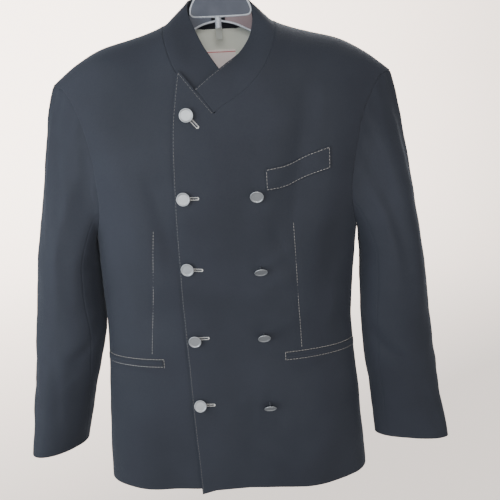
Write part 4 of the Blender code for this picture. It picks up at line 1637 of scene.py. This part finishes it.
    def shoulder_rows(self) -> Piece:
        """A row beside each shoulder seam, on the fronts.

        Returns:
            The stitches.
        """
        bm = bmesh.new()
        for side in Side:
            path = []
            lift = self.body.over_lift if side is Side.LEFT else flat_lift
            for i in range(60):
                x = side.value * (86 + i * 2.5)
                turn, height = self.body.chart(x, self.body.ridge(x) - 0.9)
                path.append(self.body.at(turn, height, lift(turn, height)))
            self.sew(bm, path, self.radius)
        return finished("stitches_shoulders", bm)

    def build(self, finishes: Finishes, panels: Panels, form: CollarForm, pockets: Pockets) -> Pieces:
        """Sews and dresses every row.

        Args:
            finishes: the materials.
            panels: the fronts.
            form: the collar's form.
            pockets: the pockets and the welt.

        Returns:
            The rows by name.
        """
        made = {
            "edge": self.edge_rows(panels), "collar": self.collar_rows(form), "darts": self.dart_rows(),
            "welt": self.welt_rows(pockets), "pockets": self.pocket_rows(pockets),
        }
        for row, piece in made.items():
            # The edge and collar rows take the darker copy of the thread, as painted shade.
            dress(piece, finishes.painted_shade_thread if row in ("edge", "collar") else finishes.thread, Slot.WOOL)
        made["shoulders"] = dress(self.shoulder_rows(), finishes.dark_thread, Slot.WOOL)
        return made


@dataclass
class Buttonholes:
    """Five worked buttonholes: close stitches round a slit, in pale thread."""

    body: BodyForm
    stitching: Stitching
    half_width: float = 1.7
    spacing: float = 0.8
    bite: float = 1.8
    thread: float = 0.32
    slit: float = 0.5
    holes: tuple[Row, ...] = (
        (-53, -241.5, -35, -262), (-65, -363, -42, -363), (-67, -472, -44, -473), (-65, -587, -42, -586),
        (-63, -702, -40, -702),
    )

    def loop(self, hole: Row) -> list[Spot]:
        """Points and sideways directions round one hole, in the plane of the front as seen from ahead.

        Args:
            hole: its inner end and its outer end.

        Returns:
            The points and directions.
        """
        begin, end = Vector((hole[0], 0, hole[1])), Vector((hole[2], 0, hole[3]))
        along = (end - begin).normalized()
        aside = Vector((-along.z, 0, along.x))
        run = (end - begin).length
        count = round(run / self.spacing)
        turns = round(math.pi * self.half_width / self.spacing * 1.6)
        ring = []
        for start, stop, sign in ((begin, end, 1), (end, begin, -1)):
            edge = aside * sign
            ring += [(start + along * run * sign * i / count + edge * self.half_width, edge) for i in range(count)]
            for i in range(turns):
                angle = sign * math.pi / 2 - math.pi * i / turns
                way = along * math.cos(angle) + aside * math.sin(angle)
                ring.append((stop + way * self.half_width, way))
        return ring

    def seat(self, x: float, z: float) -> Spot:
        """The overlapping front's cloth at a place."""
        return self.body.over_at(*self.body.chart(x, z))

    def build(self, finishes: Finishes) -> Pieces:
        """Works and dresses the holes, and their dark slits.

        Args:
            finishes: the materials.

        Returns:
            The pieces by name.
        """
        made = {}
        bm, slits = bmesh.new(), bmesh.new()
        for hole in self.holes:
            for point, way in self.loop(hole):
                spot, out = self.seat(point.x, point.z)
                ahead, _ = self.seat(point.x + way.x, point.z + way.z)
                self.stitching.grain(bm, spot, ahead - spot, out, self.bite, self.thread)
            middle, out = self.seat((hole[0] + hole[2]) / 2, (hole[1] + hole[3]) / 2)
            end, _ = self.seat(hole[2], hole[3])
            self.stitching.grain(slits, middle, end - middle, out, (end - middle).length * 2, self.slit)
        made["holes"] = dress(finished("buttonhole_stitches", bm), finishes.bright_thread, Slot.WOOL)
        made["slits"] = dress(finished("buttonhole_slits", slits), finishes.dark_thread, Slot.WOOL)
        return made


@dataclass
class Buttons:
    """Nine shank buttons: five that close the front, and four in the second row, which droop."""

    body: BodyForm
    radius: float = 10.0
    thick: float = 2.4
    stem: float = 1.6
    sides: int = 48
    winds: int = 8
    back_curve: tuple[Pair, ...] = ((2.4, 0.1), (1.0, 0.45), (0.35, 0.9), (0, 1.35), (0.05, 1.8))
    face_curve: tuple[Pair, ...] = (
        (0.35, 0.2), (0.85, 0), (1.4, 0.12), (1.8, 0.45), (2.1, 0.75), (2.7, 0.85), (4.5, 0.8), (7.0, 0.72),
    )
    closing: tuple[Row, ...] = (
        (-49, -246, 0, 3.4), (-62, -363, -6, 4.0), (-64, -471, 1, 3.4), (-62, -589, 7, 3.8), (-61, -702, -12, 4.6),
    )
    row: tuple[Row, ...] = (
        (44, -360, 26, 6.6), (44, -471, 40, 9.8), (45, -582, 36, 9.0), (50, -701, 43, 10.6),
    )

    def turned(self, name: str, profile: Sequence[Pair], frame_at: Matrix) -> Piece:
        """A turned piece: a profile of radius and height spun round its axis and set in place.

        Args:
            name: the piece's name.
            profile: radius and height pairs from the axis out and back to it.
            frame_at: where it goes, in metres.

        Returns:
            The piece.
        """
        bm = spun([(radius * MM, height * MM) for radius, height in profile], self.sides, MERGE)
        bmesh.ops.transform(bm, matrix=frame_at, verts=bm.verts[:])
        return finished(name, bm)

    def disc(self, back: float) -> list[Pair]:
        """The button's profile: a domed back, a round edge, a raised bead and a slightly dished face.

        Args:
            back: how far its back stands off the cloth.

        Returns:
            Radius and height pairs.
        """
        face = back + self.thick
        profile = [(0, back - 0.3), (3.0, back - 0.2)]
        profile += [(self.radius - inset, back + rise) for inset, rise in self.back_curve]
        profile += [(self.radius - inset, face - sink) for inset, sink in self.face_curve]
        return profile + [(0, face - 0.68)]

    def shank(self, clear: float, back: float) -> list[Pair]:
        """The stem's profile: wound thread, a little narrower at its middle.

        Args:
            clear: where the stem starts.
            back: where it ends.

        Returns:
            Radius and height pairs.
        """
        profile = [(0, clear)]
        for i in range(self.winds + 1):
            waist = self.stem - 0.25 * math.sin(math.pi * i / self.winds)
            profile.append((waist + (0.12 if i % 2 else 0.0), clear + (back - clear) * i / self.winds))
        return profile + [(0, back)]

    def build(self, finishes: Finishes) -> None:
        """Makes and dresses the buttons and their stems.

        Args:
            finishes: the materials.
        """
        for group, table in (("closing", self.closing), ("row", self.row)):
            for number, (x, z, drop, shank) in enumerate(table, 1):
                seat, out = self.body.over_at(*self.body.chart(x, z))
                axis = Matrix.Rotation(math.radians(drop), 3, (1, 0, 0)) @ out
                dropped = math.radians(abs(drop))
                clear = (BUTTON_GAP + self.stem * math.sin(dropped)) / math.cos(dropped) - 0.3
                where = Matrix.LocRotScale(seat * MM, axis.to_track_quat("Z", "Y"), None)
                name = f"button_{group}_{number}"
                disc = self.turned(f"{name}_disc", self.disc(shank), where)
                dress(disc, finishes.silver, Slot.BUTTONS, name)
                stem = self.turned(f"{name}_thread", self.shank(clear, shank - 0.15), where)
                dress(stem, finishes.dark_thread, Slot.BUTTONS, name)


@dataclass
class Hanger:
    """The moulded hanger with its plate, rim, arms and post, and the wire hook."""

    body: BodyForm
    plate_x: float = 4.0
    stem_x: float = 0.0
    outline: tuple[Pair, ...] = (
        (-37, -111), (37, -111), (43.4, -108.5), (44.6, -103), (41, -93), (31, -78), (13, -66),
    )
    thick: float = 2.6
    rim: float = 1.7
    arm: float = 5.0
    arm_clear: float = 1.28
    arm_rest: tuple[float, ...] = (150, 178, 206)
    arch: tuple[Pair, ...] = ((0, -120), (24, -124), (48, -137), (80, -144.5), (115, -147))
    arch_radius: float = 1.6
    swell: Pair = (46.0, 44.0)
    web_thick: float = 1.4
    web_start: float = 10.0
    web_step: float = 4.2
    web_clear: float = 3.5
    web_top: tuple[Pair, ...] = ((49, -108), (10, -112))
    passes: int = 3
    post: tuple[float, float, float] = (-112.0, -127.0, 4.6)
    tab: tuple[float, float, float] = (9.5, 1.4, -143.0)
    wire: float = 1.9
    bow: float = 19.0
    stem_foot: float = -64.0
    cloth: float = 2.4
    hook_turns: tuple[int, int, int] = (200, -61, -20)
    tip: float = 0.5

    def rounded(self, points: list[Vector], passes: int, closed: bool = False) -> list[Vector]:
        """A polyline with its corners cut, so that it bends softly.

        Args:
            points: the corners.
            passes: how often they are cut.
            closed: treats the line as a loop.

        Returns:
            The bent line.
        """
        for _ in range(passes):
            pairs = list(zip(points, points[1:] + (points[:1] if closed else [])))
            cut = [p for a, b in pairs for p in (a.lerp(b, 0.25), a.lerp(b, 0.75))]
            points = cut if closed else [points[0]] + cut[1:-1] + [points[-1]]
        return points

    def bar(
        self, name: str, points: Sequence[Vector], radius: float, closed: bool = False,
        share: Callable[[Vector], float] | None = None,
    ) -> Piece:
        """A round bar along points: a curve with a bevel, turned into a closed mesh.

        Args:
            name: the bar's name.
            points: its middle line, in millimetres.
            radius: its radius.
            closed: joins its ends.
            share: the share of the radius at a point, where it isn't even.

        Returns:
            The bar.
        """
        curve = bpy.data.curves.new(name, "CURVE")
        curve.dimensions = "3D"
        curve.bevel_depth = radius * MM
        curve.bevel_resolution = 4
        curve.use_fill_caps = not closed
        spline = curve.splines.new("POLY")
        spline.points.add(len(points) - 1)
        for node, point in zip(spline.points, points):
            node.co = (*(point * MM), 1)
            node.radius = share(point) if share else 1.0
        spline.use_cyclic_u = closed
        holder = bpy.data.objects.new(name + "_line", curve)
        bpy.context.scene.collection.objects.link(holder)
        bpy.context.view_layer.update()
        mesh = bpy.data.meshes.new_from_object(holder.evaluated_get(bpy.context.evaluated_depsgraph_get()))
        bm = bmesh.new()
        bm.from_mesh(mesh)
        bpy.data.objects.remove(holder)
        bmesh.ops.remove_doubles(bm, verts=bm.verts[:], dist=MERGE)
        return finished(name, bm)

    def slab(self, name: str, loop: Sequence[Vector], thick: float) -> Piece:
        """A flat piece with its middle in the hanger's plane.

        Args:
            name: the piece's name.
            loop: its outline, in millimetres.
            thick: its thickness.

        Returns:
            The piece.
        """
        bm = bmesh.new()
        bm.faces.new([bm.verts.new((point + Vector((0, thick / 2, 0))) * MM) for point in loop])
        thicken(bm, (0, -thick * MM, 0))
        return finished(name, bm)

    def plate(self) -> tuple[Piece, list[Vector]]:
        """The flat plate with soft edges, and its outline loop.

        Returns:
            The piece and its outline.
        """
        loop = [Vector((self.plate_x + x, 0, z)) for x, z in self.outline]
        loop += [Vector((self.plate_x - x, 0, z)) for x, z in self.outline[:1:-1]]
        loop = self.rounded(loop, self.passes, True)
        return self.slab("hanger_plate", loop, self.thick), loop

    def web(self, side: Side) -> Piece:
        """The thin web between the plate's foot and the arch of the arms, on one side.

        Args:
            side: the wearer's side.

        Returns:
            The web.
        """
        arch = Curve(self.arch)
        xs = [self.web_start + i * self.web_step for i in range(11)]
        loop = [Vector((side.value * x, 0, arch.at(x)[0] + self.web_clear)) for x in xs]
        loop += [Vector((side.value * x, 0, z)) for x, z in self.web_top]
        name = "hanger_web_left" if side is Side.LEFT else "hanger_web_right"
        return self.slab(name, loop, self.web_thick)

    def arm_share(self, point: Vector) -> float:
        """The share of its radius that the arm has at a point: slim in the arch, full outside it."""
        slim = self.arch_radius / self.arm
        return slim + (1 - slim) * ease((abs(point.x) - self.swell[0]) / self.swell[1])

    def arm_line(self) -> list[Vector]:
        """The arms' middle line, from one end by the arch to the other.

        Returns:
            Its points.
        """
        under = (self.cloth + self.arm) * self.arm_clear
        line = []
        for x, z in self.arch:
            raised = (self.arm - self.arch_radius) * (1 - ease((x - self.swell[0]) / self.swell[1]))
            line.append(Vector((x, 0, z + raised)))
        line += [Vector((x, 0, self.body.ridge(x) - under)) for x in self.arm_rest]
        line = self.rounded(line, self.passes)
        return [Vector((-p.x, 0, p.z)) for p in line[:0:-1]] + line

    def hook_line(self) -> list[Vector]:
        """The wire's middle line, from the hook's tip to the plate.

        Returns:
            Its corners.
        """
        reach = self.bow + self.wire
        centre = Vector((self.stem_x, 0, -self.bow))
        turns = [math.radians(degrees) for degrees in range(*self.hook_turns)]
        line = [centre + Vector((math.cos(turn), 0, math.sin(turn))) * reach for turn in turns]
        line.append(Vector((self.stem_x + 4, 0, -self.bow - reach - 2)))
        return line + [Vector((self.stem_x, 0, self.stem_foot + 12)), Vector((self.stem_x, 0, self.stem_foot))]

    def clear_tab(self, x: float) -> Piece:
        """The flat clear tab that hangs under the post.

        Args:
            x: where it hangs.

        Returns:
            The tab.
        """
        bm = bmesh.new()
        width, depth, low = self.tab
        high = self.post[1] + 2.0
        shape = Matrix.Diagonal((width * MM, depth * MM, (high - low) * MM, 1.0))
        centre = Matrix.Translation(Vector((x, 0, (high + low) / 2)) * MM)
        bmesh.ops.create_cube(bm, size=1.0, matrix=centre @ shape)
        bmesh.ops.bevel(
            bm, geom=bm.edges[:], offset=0.5 * MM, offset_type="OFFSET", segments=2, profile=0.5,
            affect="EDGES", clamp_overlap=True, material=-1,
        )
        return finished("hanger_tab", bm)

    def build(self, finishes: Finishes) -> None:
        """Makes and dresses the hanger and its hook.

        Args:
            finishes: the materials.
        """
        plate, loop = self.plate()
        top, foot, radius = self.post
        post = [Vector((self.stem_x, 0, top)), Vector((self.stem_x, 0, foot))]
        line = self.hook_line()
        moulded = (
            (plate, finishes.plastic),
            (self.web(Side.LEFT), finishes.rosy_plastic),
            (self.web(Side.RIGHT), finishes.plastic),
            (self.bar("hanger_rim", loop, self.rim, True), finishes.rim_plastic),
            (self.bar("hanger_arms", self.arm_line(), self.arm, share=self.arm_share), finishes.rim_plastic),
            (self.bar("hanger_post", post, radius), finishes.rim_plastic),
            (self.clear_tab(self.stem_x), finishes.clear_plastic),
        )
        for piece, finish in moulded:
            dress(piece, finish, Slot.PLASTIC, "hanger")
        hook = self.bar("hook_wire", self.rounded(line, self.passes), self.wire)
        dress(hook, finishes.steel, Slot.STEEL, "hook")
        bm = bmesh.new()
        size, matrix = (self.wire + self.tip) * MM, Matrix.Translation(line[0] * MM)
        bmesh.ops.create_uvsphere(bm, u_segments=20, v_segments=12, radius=size, matrix=matrix)
        dress(finished("hook_tip", bm), finishes.steel, Slot.STEEL, "hook")


@dataclass
class Studio:
    """A plain pale floor that curves up to a far wall, soft lights and the photograph's camera."""

    floor: float = -1.2
    wall: float = 3.2
    top: float = 3.5
    lens: float = 43.2
    eye: tuple[float, float, float] = (0.030, -0.935, -0.199)
    pitch: float = -16.0
    roll: float = 2.8
    paper: Colour = (0.5, 0.485, 0.47)
    # Painted light on the backdrop's glow: warm and bright on the window side, dim on the far side.
    painted_window_glow: Colour = (1.0, 0.83, 0.71)
    painted_far_shade: Colour = (0.155, 0.131, 0.115)
    glow: float = 6.2
    slope: tuple[float, float, float, float] = (0.18, 0.27, -1.107, -0.107)
    bend: float = 1.0
    sensor: float = 36.0
    air: Colour = (0.93, 0.94, 0.96)
    air_strength: float = 0.41
    lights: tuple[tuple, ...] = (
        ("window", (-1.3, -1.0, -0.15), (-0.15, 0, -0.42), 1.6, 28, (0.84, 0.92, 1.0)),
        ("side", (-0.95, -1.15, -0.25), (-0.6, 0, -0.4), 0.3, 1.6, (0.84, 0.92, 1.0), 50),
        ("front", (0.05, -1.6, -0.02), (0.0, 0, -0.2), 0.4, 13, (1.0, 0.985, 0.96)),
        ("fill", (1.1, -1.4, -0.45), (0.0, 0, -0.45), 1.2, 6, (0.97, 0.98, 1.0)),
        ("rear", (0.9, 2.0, 1.2), (0, 0, -0.4), 1.8, 60, (1.0, 1.0, 1.0)),
    )

    def backdrop(self) -> None:
        """The floor and the wall all round, in one spun sheet that glows with painted light, paler towards the window
        and darker on the far side; diffuse and glossy rays don't see it.
        """
        flat = self.wall - self.bend
        profile = [(0.0, self.floor), (flat, self.floor)]
        for i in range(1, 13):
            turn = math.radians(90 * i / 12)
            rise = self.bend * (1 - math.cos(turn))
            profile.append((flat + self.bend * math.sin(turn), self.floor + rise))
        profile.append((self.wall, self.top))
        sheet = finished("backdrop", spun(profile, 96, 1e-5))
        material, g, shader = new_material("paper")
        place = g.add("ShaderNodeTexCoord").outputs["Object"]
        apart = g.add("ShaderNodeSeparateXYZ", None, Vector=place)
        by_x, by_y, low, high = self.slope
        aside = g.maths("MULTIPLY", apart.outputs["X"], by_x)
        slope = g.maths("SUBTRACT", aside, g.maths("MULTIPLY", apart.outputs["Y"], by_y))
        paper = g.mix(g.noise(place, 1.3), opaque(self.paper), opaque(tuple(c * 0.98 for c in self.paper)))
        # Painted light: the glow runs from the window side's colour to the far side's.
        glow = g.mix(g.spread(slope, low, high), opaque(self.painted_window_glow), opaque(self.painted_far_shade))
        g.feed(shader, Base_Color=paper, Emission_Color=glow, Roughness=0.95, Emission_Strength=self.glow)
        sheet.data.materials.append(material)
        sheet.visible_diffuse = False
        sheet.visible_glossy = False
        sheet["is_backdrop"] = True

    def light(
        self, name: str, place: Row, target: Row, size: float, power: float, colour: Colour, beam: float = 180.0,
    ) -> None:
        """A soft square light that faces a target.

        Args:
            name: the light's name.
            place: where it stands, in metres.
            target: where it faces.
            size: its side.
            power: its power in watts.
            colour: its colour.
            beam: how wide its light spreads, in degrees.
        """
        data = bpy.data.lights.new(name, "AREA")
        data.size, data.energy, data.color, data.spread = size, power, colour, math.radians(beam)
        lamp = bpy.data.objects.new(name, data)
        lamp.location = place
        lamp.rotation_euler = (Vector(target) - Vector(place)).to_track_quat("-Z", "Y").to_euler()
        bpy.context.scene.collection.objects.link(lamp)

    def camera(self) -> None:
        """The camera at the photograph's viewing angle."""
        pitch, roll = math.radians(self.pitch), math.radians(self.roll)
        forward = Vector((0, math.cos(pitch), math.sin(pitch)))
        right = Vector((1, 0, 0))
        up = right.cross(forward)
        tilted = right * math.cos(roll) - up * math.sin(roll)
        top = up * math.cos(roll) + right * math.sin(roll)
        data = bpy.data.cameras.new("camera")
        data.lens, data.sensor_width = self.lens, self.sensor
        eye = bpy.data.objects.new("camera", data)
        turn = Matrix((tilted, top, -forward)).transposed().to_quaternion()
        eye.matrix_world = Matrix.LocRotScale(Vector(self.eye), turn, None)
        bpy.context.scene.collection.objects.link(eye)
        bpy.context.scene.camera = eye

    def build(self) -> None:
        """Sets the stage, the lights, the pale surroundings and the camera."""
        self.camera()
        self.backdrop()
        for row in self.lights:
            self.light(*row)
        world = bpy.data.worlds.new("pale")
        world.use_nodes = True
        air = Graph(world.node_tree)
        air.feed(world.node_tree.nodes["Background"], Color=opaque(self.air), Strength=self.air_strength)
        bpy.context.scene.world = world


@dataclass
class Blazer:
    """The whole blazer on its hanger."""

    body: BodyForm = field(default_factory=BodyForm)

    def __post_init__(self) -> None:
        """Sets up the forms."""
        self.collar = CollarForm(self.body)
        self.left = SleeveForm(
            self.body, Side.LEFT,
            (
                (-465, 256, -4, 49, 58, 0, 8), (-520, 259.5, -6, 52.5, 56.5, 0, 7),
                (-580, 264.5, -9, 55.5, 52, 4, 6), (-640, 270.5, -12, 57, 45, 8, 5),
                (-700, 278.5, -15, 57.5, 37, 11, 4), (-760, 288, -18, 59.5, 28, 14, 3),
                (-806, 295.5, -20, 61.5, 20, 16, 3),
            ),
            (
                (84, -255, 76, -500, 13, -4), (46, -270, 52, -600, 16, 3.5), (160, -585, 84, -655, 12, -4),
                (-70, -560, 0, -640, 15, -3), (-60, -300, -66, -520, 15, 3),
            ),
            (
                (62, -235, 70, -380, 6, -1.2), (26, -240, 34, -420, 7, 1.2), (100, -330, 92, -470, 7, 1.3),
                (150, -600, 60, -640, 7, 1.2), (140, -640, 50, -690, 7, -1.1), (20, -560, 60, -700, 9, 1.0),
                (-40, -260, -46, -420, 8, -1.2), (-80, -600, -20, -660, 8, 1.1), (60, -700, 30, -800, 9, -1.0),
                (200, -560, 240, -650, 10, -1.2),
            ),
        )
        self.right = SleeveForm(
            self.body, Side.RIGHT,
            (
                (-465, 259.5, -4, 47.5, 59, 0, 8), (-520, 264.5, -5, 52, 57.5, 0, 7), (-580, 271, -7, 56.5, 53, 8, 6),
                (-640, 282.5, -9, 53, 47, 18, 5), (-700, 296, -10, 51, 39, 30, 4), (-760, 308, -9, 51, 32, 38, 3),
                (-804, 317, -8, 52, 27, 42, 2),
            ),
            (
                (14, -235, 66, -430, 11, 5), (98, -300, 100, -540, 15, -2.2), (160, -560, 84, -640, 12, -3),
                (30, -560, 40, -760, 15, 3), (-70, -540, 0, -630, 15, -3),
            ),
            (
                (30, -250, 76, -400, 6, -1.2), (54, -240, 84, -330, 6, 1.1), (76, -380, 80, -520, 7, 1.2),
                (150, -575, 60, -625, 7, 1.2), (140, -620, 40, -680, 7, -1.2), (60, -600, 66, -760, 8, -1.0),
                (-36, -250, -50, -420, 8, -1.2), (-80, -590, -20, -650, 8, 1.1), (10, -440, 26, -560, 9, 1.0),
                (200, -560, 240, -650, 10, -1.2),
            ),
        )

    def build(self, finishes: Finishes) -> None:
        """Makes every piece and works out the flat cut of each sheet of cloth, which is not kept.

        Args:
            finishes: the materials.
        """
        cloth: Pieces = {}
        panels = Panels(self.body, self.collar)
        cloth |= panels.build(finishes)
        cloth["collar"] = StandCollar(self.collar).build(finishes)
        for form in (self.left, self.right):
            cloth |= Sleeve(form).build(finishes)
        pockets = Pockets(self.body)
        cloth |= pockets.build(finishes)
        cloth |= NeckLining(self.body).build(finishes)
        stitching = Stitching(self.body)
        rows = stitching.build(finishes, panels, self.collar, pockets)
        holes = Buttonholes(self.body, stitching).build(finishes)
        Buttons(self.body).build(finishes)
        Hanger(self.body).build(finishes)
        self.declare(rows, holes)

    def declare(
        self, rows: Pieces,
        holes: Pieces,
    ) -> None:
        """Works out each piece of cloth's flat cut and area from a table that also lists what holds it up and what is
        sewn on it; nothing is kept.

        Args:
            rows: the stitched rows.
            holes: the buttonholes and their slits.
        """
        arms, backs = ("hanger_arms",), ("back_left_cloth", "back_right_cloth")
        over, under = ("front_overlapping_cloth",), ("front_under_cloth",)
        jet = (0.13, 0.0058, 0.0007)
        cuts = {
            "front_overlapping": (0.40, 0.70, 0.201, arms, (rows["edge"], rows["darts"], *holes.values())),
            "front_under": (0.37, 0.70, 0.180, arms, (rows["shoulders"],)),
            "back_left": (0.29, 0.76, 0.178, arms, ()),
            "back_right": (0.29, 0.76, 0.178, arms, ()),
            "collar": (0.50, 0.06, 0.0214, backs, (rows["collar"],)),
            "sleeve_left_top": (0.25, 0.62, 0.115, backs[:1], ()),
            "sleeve_left_under": (0.14, 0.46, 0.0467, backs[:1], ()),
            "sleeve_right_top": (0.25, 0.62, 0.111, backs[1:], ()),
            "sleeve_right_under": (0.14, 0.46, 0.0457, backs[1:], ()),
            "pocket_left_upper_jet": (*jet, over, (rows["pockets"],)),
            "pocket_left_lower_jet": (*jet, over, ()),
            "pocket_right_upper_jet": (*jet, under, ()),
            "pocket_right_lower_jet": (*jet, under, ()),
            "chest_welt": (0.10, 0.034, 0.0031, over, (rows["welt"],)),
            "neck_lining": (0.15, 0.15, 0.0181, backs, ()),
            "neck_label": (0.046, 0.041, 0.00183, ("neck_lining_cloth",), ()),
        }
        for node, (width, length, area, rests, sewn) in cuts.items():
            flat = (max(width, SMALLEST_CUT), max(length, SMALLEST_CUT))
            area = min(flat[0] * flat[1], max(area, 0.3 * flat[0] * flat[1]))
            list(rests)
            list(sewn)


def main() -> None:
    """Builds the blazer and the studio, and measures the bounds of the shown pieces, which are not kept."""
    logging.basicConfig(level=logging.INFO, format="%(name)s %(message)s")
    finishes = Finishes()
    Blazer().build(finishes)
    Studio().build()
    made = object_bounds()
    boxes = {"cad": CAD_BOX, "visual": made}
    {name: [list(map(float, corner)) for corner in box] for name, box in boxes.items()}


if __name__ == "__main__":
    main()
